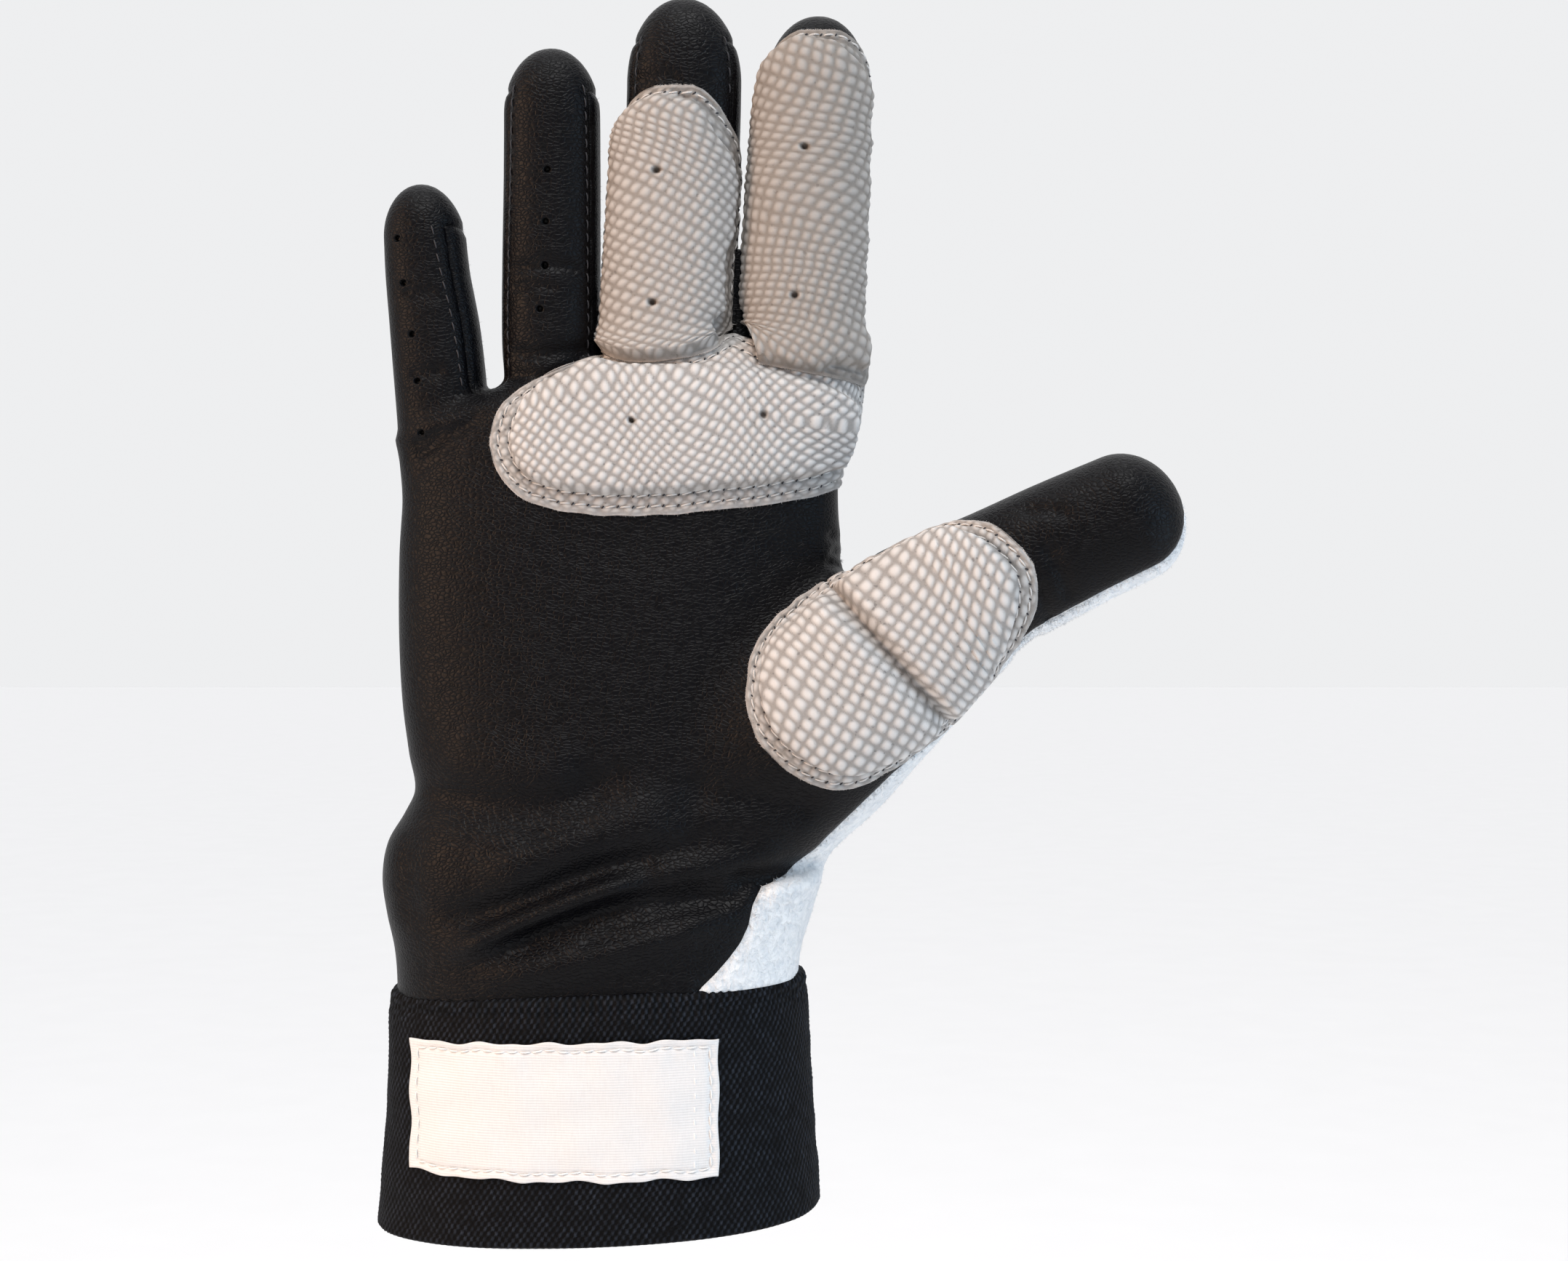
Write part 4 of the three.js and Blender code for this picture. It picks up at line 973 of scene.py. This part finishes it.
def contour(info, level, step=0.35):
    """A closed line on a pad's surface at a distance from its edge, in order."""
    g = info["grid"]
    e, P = info["e"], info["outer"]
    nu, nv = g.shape
    lines = []
    # walk round from the pad's middle: for each direction, the last crossing of the level
    cu, cv = (nu - 1) / 2, (nv - 1) / 2
    for ang in np.linspace(0, 2 * math.pi, 420, endpoint=False):
        t = np.linspace(0, 1, 260)
        du, dv = math.cos(ang), math.sin(ang)
        far = min(cu / max(abs(du), 1e-9), cv / max(abs(dv), 1e-9))
        iu, iv = cu + du * far * t, cv + dv * far * t
        a, b = np.clip(iu.astype(int), 0, nu - 2), np.clip(iv.astype(int), 0, nv - 2)
        fu, fv = iu - a, iv - b

        def pick(values):
            V = values.reshape(nu, nv, -1)
            return (V[a, b] * ((1 - fu) * (1 - fv))[:, None] + V[a + 1, b] * (fu * (1 - fv))[:, None]
                    + V[a, b + 1] * ((1 - fu) * fv)[:, None] + V[a + 1, b + 1] * (fu * fv)[:, None])
        ee = pick(e)[:, 0]
        hit = np.flatnonzero((ee[:-1] >= level) & (ee[1:] < level))
        if len(hit):
            k = hit[-1]
            w = (ee[k] - level) / (ee[k] - ee[k + 1])
            pp, nn = pick(P), pick(info["N"])
            lines.append(np.concatenate([pp[k] * (1 - w) + pp[k + 1] * w, nn[k]]))
    lines = np.array(lines)
    lines = np.concatenate([lines, lines[:1]])
    # even out
    for _ in range(3):
        lines[1:-1] = (lines[:-2] + 2 * lines[1:-1] + lines[2:]) / 4
    return lines[:, :3], lines[:, 3:]


FINGER_PADS = {
    "middle_finger_pad": ("middle", curves("z left right", (171.6, 88, 68), (173.6, 92, 76), (178, 93, 81), (195, 94, 82), (211, 92, 84), (215, 92, 78), (219, 90, 62), (222.0, 82, 46), (224.6, 62, 31), (226.4, 41, 19), (227.3, 24, 9)), 171.6, 227.3),
    "index_finger_pad": ("index", curves("z left right", (170.6, 84, 70), (172.6, 88, 78), (176, 88, 84), (180, 88, 88), (190, 88, 90), (224, 86, 90), (230, 82, 88), (233.6, 72, 78), (236.2, 54, 60), (237.8, 36, 40), (238.5, 24, 27)), 170.6, 238.5),
}
FINE = 0.29


def lines_for(length):
    return 3 * int(length / FINE / 3) + 1


def eased(G, half):
    """A grid evened out along its first way over half lines each side, with its ends kept."""
    for _ in range(3):
        E = np.concatenate([2 * G[:1] - G[half:0:-1], G, 2 * G[-1:] - G[-2:-half - 2:-1]])
        c = np.cumsum(np.concatenate([np.zeros((1,) + G.shape[1:]), E]), axis=0)
        G = (c[2 * half + 1:] - c[:-(2 * half + 1)]) / (2 * half + 1)
    return G


pads = {}
for name, (finger, reach, z0, z1) in FINGER_PADS.items():
    F, r = FINGERS[finger], FINGERS[finger]["rows"]
    nu, nv = lines_for(z1 - z0), lines_for(42)
    u = np.linspace(0, 1, nu)
    z = z0 + (z1 - z0) * (u - 0.035 * np.sin(2 * math.pi * u))
    w = np.linspace(0, 1, nv)
    Z = np.repeat(z[:, None], nv, 1)
    left, right = reach["left"](Z) + 1.0 * wander(Z, 0 * Z, 31, 7.0), reach["right"](Z) + 1.5 * wander(Z, 0 * Z, 32, 6.0)
    deg = -left + (left + right) * w[None, :]
    t = np.maximum(0, Z - (F["tip"] - F["round"])) / F["round"]
    k = np.sqrt(np.clip(1 - t * t, 0.02, 1))
    x, y = ellipse_point(r["w"](Z) * k, r["f"](Z) * k, F["n"], deg)
    P, N = settle(np.stack([r["x"](Z) + x, curl(Z) + y, Z], -1).reshape(-1, 3), 2)
    # the lower end is a raw lip that lies over the knuckle pad, with the foam close behind it
    slope = {"middle": 0.10, "index": -0.16}[finger] * (P[:, 0] - r["x"](Z).ravel())
    P[:, 2] += slope * smooth((186 - P[:, 2]) / 14)
    P, N = settle(P, 2)
    # the foam bridges the step between the finger and the hand
    G, M = P.reshape(nu, nv, 3), N.reshape(nu, nv, 3)
    half, share = int(3.0 / FINE), smooth((194 - G[:, :, 2:]) / 10)
    off = ((eased(G, half) - G) * M).sum(2, keepdims=True)
    M = M + share * (eased(M, half) - M)
    M = M / np.linalg.norm(M, axis=2, keepdims=True)
    P, N = (G + M * np.clip(off, -0.4, 3.0) * share).reshape(-1, 3), M.reshape(-1, 3)
    low = smooth((182.0 - P[:, 2]) / 6.0)
    left = smooth((-(P[:, 0] - r["x"](Z).ravel()) / r["w"](Z).ravel() + 0.15) / 0.5)
    right = smooth(((P[:, 0] - r["x"](Z).ravel()) / r["w"](Z).ravel() - 0.15) / 0.5)
    flange = 2.5 - 2.0 * low - (1.1 * left if finger == "middle" else 0.9 * left) * (1 - low) + right * (1.9 - (1.2 if finger == "middle" else -0.6) * low)
    # the index and middle pads get painted shade, a darker browner tone for the lesser light on them
    pads[name] = pad(name, P.reshape(nu, nv, 3), N.reshape(nu, nv, 3), 3.0, np.maximum(flange, 0.5), (1.1, 2.4),
                     turn=0.55 if finger == "middle" else 0.30, seed=11 if finger == "middle" else 23, pitch=1.9,
                     lift=1.0 * smooth((182.0 - P[:, 2]) / 9.0), painted_shade={"middle": 0.32, "index": 0.52}[finger])


def front_grid(X, Z):
    """The front of the glove at places (x, z), found from in front."""
    shape = X.shape
    x, z = X.ravel(), Z.ravel()
    y = np.full(len(x), -60.0)
    for _ in range(26):
        d = field(np.stack([x, y, z], 1))
        y = np.minimum(y + np.clip(d, -1, 6) * 0.7, 8.0)
    P, N = settle(np.stack([x, y, z], 1), 2, 1.5)
    for _ in range(3):
        G = P.reshape(*shape, 3)
        for _ in range(4):
            G[1:-1, 1:-1] = (G[:-2, 1:-1] + G[2:, 1:-1] + G[1:-1, :-2] + G[1:-1, 2:]) / 4
            for edge in (G[0], G[-1], G[:, 0], G[:, -1]):
                edge[1:-1] = (edge[:-2] + 2 * edge[1:-1] + edge[2:]) / 4
        P, N = settle(G.reshape(-1, 3), 1, 1.5)
    return P.reshape(*shape, 3), N.reshape(*shape, 3)


KNUCKLE = curves("x lo hi", (-20.9, 155.6, 157.8), (-20.2, 152.4, 161.4), (-18.0, 148.6, 165.2), (-14.2, 145.2, 168.2), (-7.0, 142.8, 172.4), (0.0, 142.0, 174.6), (8.0, 141.7, 175.4),
                 (18.0, 142.3, 175.8), (23.0, 142.8, 177.4), (27.0, 143.2, 179.0), (31.0, 143.7, 177.6), (36.0, 144.4, 176.0), (42.0, 145.5, 176.0), (48.4, 148.0, 177.4), (51.4, 151.4, 178.6), (53.0, 156.0, 178.8), (53.8, 163.0, 176.0))
# upper edge of the foam cell, where the finger pads' lips lie over it
CELL_TOP = curves("x z", (-21, 176), (-8, 174), (5, 172.6), (20, 172.8), (33, 172.2), (44, 169.6), (50, 166.8), (54, 163))
nu, nv = lines_for(80), lines_for(37)
u = 0.5 - 0.5 * np.cos(math.pi * np.linspace(0, 1, nu))
u = 0.45 * u + 0.55 * np.linspace(0, 1, nu)
X = np.repeat((-20.9 + 74.7 * u)[:, None], nv, 1)
lo, hi = KNUCKLE["lo"](X) + 0.22 * wander(X, 0 * X, 91, 6.0), KNUCKLE["hi"](X) + 0.15 * wander(X, 0 * X, 92, 6.0)
P, N = front_grid(X, lo + (hi - lo) * np.linspace(0, 1, nv)[None, :])
cell = smooth((CELL_TOP["z"](P[:, :, 0]) - P[:, :, 2]) / 2.6) * smooth((51.6 - P[:, :, 0]) / 2.4)
face = smooth((-N[:, :, 1] - 0.34) / 0.34)
pads["knuckle_pad"] = pad("knuckle_pad", P, N, 4.2, 4.0, (1.7, 3.9), turn=0.70, seed=37, pitch=1.9, puffy=cell * face, across=True)

THUMB_PAD = curves("s up down", (-13.0, 1.0, 1.6), (-12.2, 4.6, 6.2), (-11.0, 7.4, 9.6), (-9.0, 10.3, 13.0), (-5.5, 14.3, 16.8), (0.0, 17.4, 18.9), (7.0, 18.7, 19.5), (14.0, 18.8, 19.3),
                   (20.0, 17.6, 18.8), (30.0, 16.6, 16.2), (37.0, 15.6, 13.4), (43.0, 13.8, 10.6), (46.6, 11.4, 7.6), (48.8, 8.0, 4.6), (50.0, 3.0, 1.2))
T0, T1 = np.array((43.7, 104.8)), np.array((79.0, 128.4))
TU = (T1 - T0) / np.linalg.norm(T1 - T0)
nu, nv = lines_for(70), lines_for(42)
u = np.linspace(0, 1, nu)
u = 0.5 * (0.5 - 0.5 * np.cos(math.pi * u)) + 0.5 * u
along = np.repeat((-13.0 + 63.0 * u)[:, None], nv, 1)
w = np.linspace(0, 1, nv)
w = 0.35 * (0.5 - 0.5 * np.cos(math.pi * w)) + 0.65 * w
up, down = THUMB_PAD["up"](along) + 0.2 * wander(along, 0 * along, 93, 6.0), THUMB_PAD["down"](along) + 0.2 * wander(along, 0 * along, 94, 6.0)
side = -down + (up + down) * w[None, :]
P, N = front_grid(T0[0] + TU[0] * along - TU[1] * side, T0[1] + TU[1] * along + TU[0] * side)
crease_at = 17.6 - 0.12 * side
face = smooth((-N[:, :, 1] - 0.42) / 0.36)
off = along - crease_at
cell = 1 - 0.92 * np.where(off > 0, np.exp(-(off / 1.3) ** 2), np.exp(-(off / 2.4) ** 2))
pads["thumb_pad"] = pad("thumb_pad", P, N, 4.4, 3.6, (1.5, 3.5), turn=0.35, seed=53, pitch=2.25, valley=cell, puffy=face,
                        sink=0.6 * np.exp(-(off / 0.32) ** 2))

rows, pits = [], []
for name, levels in (("knuckle_pad", (1.7, 3.9)), ("thumb_pad", (1.5, 3.5)), ("middle_finger_pad", (1.5,)), ("index_finger_pad", (1.5,))):
    above = {"middle_finger_pad": 186, "index_finger_pad": 190}.get(name, 0)
    for level in levels:
        line, n = contour(pads[name], level)
        rows.append(stitches(line, n, 3.0, 2.3, 0.19, 0.05, 0.13, 0.5, lambda c: c[2] > above))
        pits.append(stitches(line, n, 3.0, 0.95, 0.16, 0.02, 0.9, 0.98, lambda c: c[2] > above))
v, f = join(rows)
piece(make("pad_stitches", v, f, GREY_THREAD), "grey_pad_leather")
v, f = join(pits)
piece(make("pad_stitch_holes", v, f, BLACK_THREAD), "grey_pad_leather")


# ------------------------------------------------------------------ nap and raw edges
def hairs(points, ways, lengths, radius):
    """Short tapering hairs, each a closed spike."""
    w = ways / np.linalg.norm(ways, axis=1, keepdims=True)
    a = np.cross(w, (0.3, 0.5, 0.8))
    a /= np.linalg.norm(a, axis=1, keepdims=True)
    b = np.cross(w, a)
    ring = [points - 0.12 * w + radius * (a * math.cos(t) + b * math.sin(t)) for t in (0, 2 * math.pi / 3, 4 * math.pi / 3)]
    base = 4 * np.arange(len(points))[:, None]
    faces = np.concatenate([base + np.array([f]) for f in ((0, 1, 3), (1, 2, 3), (2, 0, 3), (2, 1, 0))])
    return np.stack([*ring, points + w * lengths[:, None]], 1).reshape(-1, 3), faces


def loose(n, share):
    return rng.uniform(-1, 1, (n, 3)) * share


parts = []
for (v, t), number in ((back_part, 5200), (thumb_back, 2600)):
    g = slope_of(v)
    n = g / np.maximum(np.linalg.norm(g, axis=1, keepdims=True), 1e-9)
    seen = t[(n[t[:, 0], 1] < 0.5) & (v[t[:, 0], 2] > 50)]
    pick = seen[rng.integers(0, len(seen), number)]
    w = rng.dirichlet((1, 1, 1), number)
    p, q = (v[pick] * w[:, :, None]).sum(1), n[pick[:, 0]]
    parts.append(hairs(p - 0.1 * q, q * 0.55 + loose(number, 0.75) + (0, 0, -0.25), rng.uniform(0.45, 0.95, number), 0.055))
v, f = join(parts)
piece(make("knit_nap", v, f, KNIT), "white_knit")

parts = []
for name, info in pads.items():
    base, top = info["base"], info["outer"].reshape(info["base"].shape)
    rim = np.concatenate([w for w in (top[0], top[-1], top[:, 0], top[:, -1])])
    away = rim - np.concatenate([w for w in (top[4], top[-5], top[:, 4], top[:, -5])])
    pick = rng.integers(0, len(rim), 520)
    away = away[pick] / np.maximum(np.linalg.norm(away[pick], axis=1, keepdims=True), 1e-6)
    parts.append(hairs(rim[pick], away + loose(520, 0.8), rng.uniform(0.2, 0.55, 520), 0.04))
v, f = join(parts)
piece(make("pad_edge_fuzz", v, f, GREY_THREAD), "grey_pad_leather")


# ------------------------------------------------------------------ cuff
def cuff_point(theta, h, out):
    """Place on the cuff at angle theta, height h, out mm beyond its outer face."""
    r = {k: CUFF[k](h) for k in ("xl", "xr", "f", "b")}
    c, s = np.cos(theta), np.sin(theta)
    w = (r["xr"] - r["xl"]) / 2 + out
    d = np.where(s > 0, r["f"], r["b"]) + out
    x = (r["xl"] + r["xr"]) / 2 + w * np.sign(c) * np.abs(c) ** (2 / CUFF_N)
    y = -d * np.sign(s) * np.abs(s) ** (2 / CUFF_N)
    return x, y


def cuff_mesh():
    n = 700
    prof = []  # (height, out)
    for h in np.linspace(0.8, 47.2, 106):
        prof.append((h, 0.0))
    rim = [(math.sin(a), math.cos(a)) for a in np.linspace(0.25, math.pi - 0.25, 6)]
    prof += [(47.2 + 1.0 * s, -CUFF_WALL / 2 + c * CUFF_WALL / 2) for s, c in rim]
    prof += [(h, -CUFF_WALL) for h in np.linspace(47.0, 0.8, 9)]
    prof += [(0.8 - 0.8 * s, -CUFF_WALL / 2 - c * CUFF_WALL / 2) for s, c in rim]
    H, O = np.array(prof).T
    # even steps round the section
    fine = np.linspace(0, 2 * math.pi, 6001)
    fx, fy = cuff_point(fine, np.full(6001, 20.0), 0.0)
    run = np.concatenate([[0], np.cumsum(np.hypot(np.diff(fx), np.diff(fy)))])
    theta = np.interp(np.linspace(0, run[-1], n, endpoint=False), run, fine)
    T, HH, OO = np.repeat(theta[None, :], len(H), 0), np.repeat(H[:, None], n, 1), np.repeat(O[:, None], n, 1)
    arc = np.repeat(np.linspace(0, run[-1], n, endpoint=False)[None, :], len(H), 0)
    outside = smooth((OO + CUFF_WALL / 2) / 0.6)
    gather = np.cos(2 * math.pi * arc / 1.8 + 0.6 * wander(arc, HH, 3, 9.0)) * np.exp(-((47.5 - HH) / 4.5) ** 2)
    count = round(run[-1] / 1.38)
    loops = np.cos(2 * math.pi * count * arc / run[-1] + 0.5 * wander(arc, HH, 15, 8.0)) * np.cos(math.pi * HH / 1.0 + 0.5 * wander(arc, HH, 16, 9.0))
    loops = loops * (1 - 0.25 * wander(arc, HH, 17, 2.2)) + 0.18 * wander(arc, HH, 18, 1.3)
    waves = 0.22 * wander(arc, HH * 1.6, 5, 34.0) + 0.10 * wander(arc, HH, 8, 12.0)
    dip = -0.22 * np.exp(-((HH - 44.8) / 0.7) ** 2)
    lip = 0.18 * np.exp(-((HH - 46.8) / 1.0) ** 2)
    OO = OO + outside * (0.17 * gather + 0.15 * loops + waves + dip + lip)
    HH2 = HH + 0.10 * outside * wander(arc, HH, 12, 10.0) * (HH > 40)
    x, y = cuff_point(T, HH, OO)
    V = np.stack([x, y, HH2 + CUFF_TILT * x], -1)
    m = len(H)
    g = np.arange(m * n).reshape(m, n)
    q = np.stack([g, np.roll(g, -1, 1), np.roll(np.roll(g, -1, 1), -1, 0), np.roll(g, -1, 0)], -1).reshape(-1, 4)
    # the third result is the loops' height, which the cuff's colour turns into painted glints and painted shade
    return V.reshape(-1, 3), q[:, ::-1], (0.5 + 0.5 * loops).ravel()


v, f, loops = cuff_mesh()
a, b, c = v[f[0, 0]], v[f[0, 1]], v[f[0, 2]]
if np.cross(b - a, c - a) @ (a * (1, 1, 0)) < 0:
    f = f[:, ::-1]
piece(make("cuff", v, f, ELASTIC, {"loop": loops}), "black_elastic", "cuff")

# ------------------------------------------------------------------ label
LABEL = dict(x=-5.2, z=26.2, w=60.0, h=26.0)


def label_material():
    m, nt, b = nodes_of("white_woven_satin")
    at = coords(nt)
    weft = node(nt, "ShaderNodeTexWave", {"Vector": at, "Scale": 620.0, "Distortion": 0.6, "Detail": 1.0}, wave_type="BANDS", bands_direction="Z").outputs["Fac"]
    warp = noise(nt, coords(nt, (1.0, 1.0, 0.12)), 3600.0, 2.0)
    tone = mixed(nt, warp, (0.61, 0.605, 0.60), (0.71, 0.705, 0.70))
    nt.links.new(mixed(nt, maths(nt, "MULTIPLY", weft, 0.25), tone, (0.56, 0.555, 0.555)), b.inputs["Base Color"])
    b.inputs["Roughness"].default_value = 0.48
    b.inputs["Specular IOR Level"].default_value = 0.45
    b.inputs["Sheen Weight"].default_value = 0.25
    n = bump(nt, weft, 0.00006, 0.7)
    n = bump(nt, warp, 0.00005, 0.6, n)
    nt.links.new(n, b.inputs["Normal"])
    return m


def on_cuff(x, z, out):
    """Place on the cuff's front at (x, z), out mm off it, and the way out."""
    h = z - CUFF_TILT * x
    xl, xr, f = CUFF["xl"](h), CUFF["xr"](h), CUFF["f"](h)
    m, w = (xl + xr) / 2, (xr - xl) / 2
    k = np.clip((x - m) / w, -0.995, 0.995)
    y = -f * (1 - np.abs(k) ** CUFF_N) ** (1 / CUFF_N)
    nx = np.sign(k) * np.abs(k) ** (CUFF_N - 1) / w
    ny = -np.abs(y / f) ** (CUFF_N - 1) / f
    l = np.hypot(nx, ny)
    return np.stack([x + nx / l * out, y + ny / l * out, z], -1), np.stack([nx / l, ny / l, 0 * nx], -1)


def label_shape(u, v):
    """x and z of a place on the label, and how far it stands off the cuff."""
    x = LABEL["x"] + (u - 0.5) * LABEL["w"]
    wave = (0.22 * np.sin(u * 31.0) + 0.16 * np.sin(u * 53.0 + 2.0)) * np.exp(-((v - 1) / 0.10) ** 2)
    wave = wave + (0.24 * np.sin(u * 24.0 + 1.0) + 0.18 * np.sin(u * 47.0)) * np.exp(-(v / 0.10) ** 2)
    z = LABEL["z"] + (v - 0.5) * LABEL["h"] + CUFF_TILT * (x - LABEL["x"]) * 0.6 + wave
    z = z - 1.3 * (u - 0.5) * (1 - v) + 0.9 * np.sin(math.pi * u) * (v - 0.5) * 0.6
    x = x + 0.16 * np.sin(v * 13.0) * ((u - 0.5) * 2) ** 9
    out = 1.00 + 0.24 * wander(u * 60, v * 26, 71, 13.0) + 0.18 * wander(u * 60, v * 26, 72, 6.0) * (np.abs(v - 0.5) * 2) ** 3
    return x, z, out


nu, nv = ((206, 92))
U, V = np.meshgrid(np.linspace(0, 1, nu), np.linspace(0, 1, nv), indexing="ij")
x, z, out = label_shape(U, V)
edge_mm = np.minimum(np.minimum(U, 1 - U) * LABEL["w"], np.minimum(V, 1 - V) * LABEL["h"])
out = out - 0.30 * np.exp(-((edge_mm - 1.5) / 0.45) ** 2)
top, N = on_cuff(x, z, out)
low, _ = on_cuff(x, z, out - 0.35)
g = np.arange(nu * nv).reshape(nu, nv)
q = np.stack([g[:-1, :-1], g[1:, :-1], g[1:, 1:], g[:-1, 1:]], -1).reshape(-1, 4)
loop = np.concatenate([g[0, :-1], g[:-1, -1], g[-1, :0:-1], g[:0:-1, 0]])
side = np.stack([loop, np.roll(loop, -1), np.roll(loop, -1) + nu * nv, loop + nu * nv], 1)
label = piece(make("label", np.concatenate([top.reshape(-1, 3), low.reshape(-1, 3)]), np.concatenate([q, q[:, ::-1] + nu * nv, side]), label_material()), "white_satin", "label")

rows = []
inset = 1.5


def label_line(points):
    u, v = np.array(points, float).T
    t = np.linspace(0, len(u) - 1, 240)
    u, v = np.interp(t, range(len(u)), u), np.interp(t, range(len(v)), v)
    x, z, out = label_shape(u, v)
    return on_cuff(x, z, out - 0.25)


iu, iv = inset / LABEL["w"], inset / LABEL["h"]
for pts in ([(iu, iv), (1 - iu, iv)], [(1 - iu, iv), (1 - iu, 1 - iv)], [(1 - iu, 1 - iv), (iu, 1 - iv)], [(iu, 1 - iv), (iu, iv)],
            [(1 - 3.0 * iu, iv), (1 - 3.0 * iu, 1 - iv)]):
    line, n = label_line(pts)
    rows.append(stitches(line, n, 2.5, 2.1, 0.16, 0.1, 0.06))
v, f = join(rows)
piece(make("label_stitches", v, f, WHITE_THREAD), "white_satin")

# ------------------------------------------------------------------ floor, light, camera
def floor_material():
    m, nt, b = nodes_of("pale_floor")
    grain = noise(nt, coords(nt), 14.0, 3.0)
    nt.links.new(mixed(nt, grain, (0.90, 0.90, 0.90), (0.93, 0.93, 0.93)), b.inputs["Base Color"])
    b.inputs["Roughness"].default_value = 0.9
    return m


floor = make("floor", np.array([(-20000, -20000, -450), (20000, -20000, -450), (20000, 20000, -450), (-20000, 20000, -450)]), np.array([(0, 1, 2, 3)]), floor_material())

world = bpy.data.worlds.new("studio")
bpy.context.scene.world = world
world.use_nodes = True
sky = world.node_tree
away = node(sky, "ShaderNodeSeparateXYZ", {"Vector": node(sky, "ShaderNodeTexCoord").outputs["Generated"]})
behind = ramp(sky, maths(sky, "MULTIPLY_ADD", away.outputs["Y"], 0.5, 0.5), (0.42, (0.18, 0.18, 0.19)), (0.80, (0.855, 0.86, 0.87)))
above = ramp(sky, maths(sky, "MULTIPLY_ADD", away.outputs["Z"], 0.5, 0.5), (0.66, (0, 0, 0)), (0.96, (0.90, 0.90, 0.91)))
sky.links.new(mixed(sky, 1.0, behind, above, "ADD"), sky.nodes["Background"].inputs["Color"])
sky.nodes["Background"].inputs["Strength"].default_value = 1.0
bpy.context.scene.view_settings.view_transform = "Standard"


def area(name, place, target, size, power, tone=(1, 1, 1), tall=None):
    from mathutils import Vector
    d = bpy.data.lights.new(name, "AREA")
    d.energy, d.size, d.color = power, size, tone
    if tall:
        d.shape, d.size_y = "RECTANGLE", tall
    o = bpy.data.objects.new(name, d)
    bpy.context.scene.collection.objects.link(o)
    o.location = place
    o.rotation_mode = "QUATERNION"
    o.rotation_quaternion = (Vector(target) - Vector(place)).to_track_quat("-Z", "Y")


aim = (0.03, 0.0, 0.12)
area("key", (0.05, -0.80, 1.35), aim, 0.5, 14.0)
area("warm_left", (-0.78, -0.48, 0.34), aim, 0.30, 7.0, (1.0, 0.64, 0.42), 0.5)
area("cool_right", (0.85, -0.45, 0.15), aim, 0.25, 3.2, (0.50, 0.75, 1.0), 0.5)

cam = bpy.data.cameras.new("camera")
cam_obj = bpy.data.objects.new("camera", cam)
bpy.context.scene.collection.objects.link(cam_obj)
cam_obj.location = (CAMERA_X * MM, -CAMERA_AWAY * MM, CAMERA_Z * MM)
cam_obj.rotation_euler = (math.pi / 2, 0, 0)
cam.sensor_width = 36.0
cam.lens = 36.0 * CAMERA_AWAY / (2156 * PER_PIXEL)
cam.clip_start, cam.clip_end = 0.01, 60
bpy.context.scene.camera = cam_obj

bpy.context.view_layer.update()
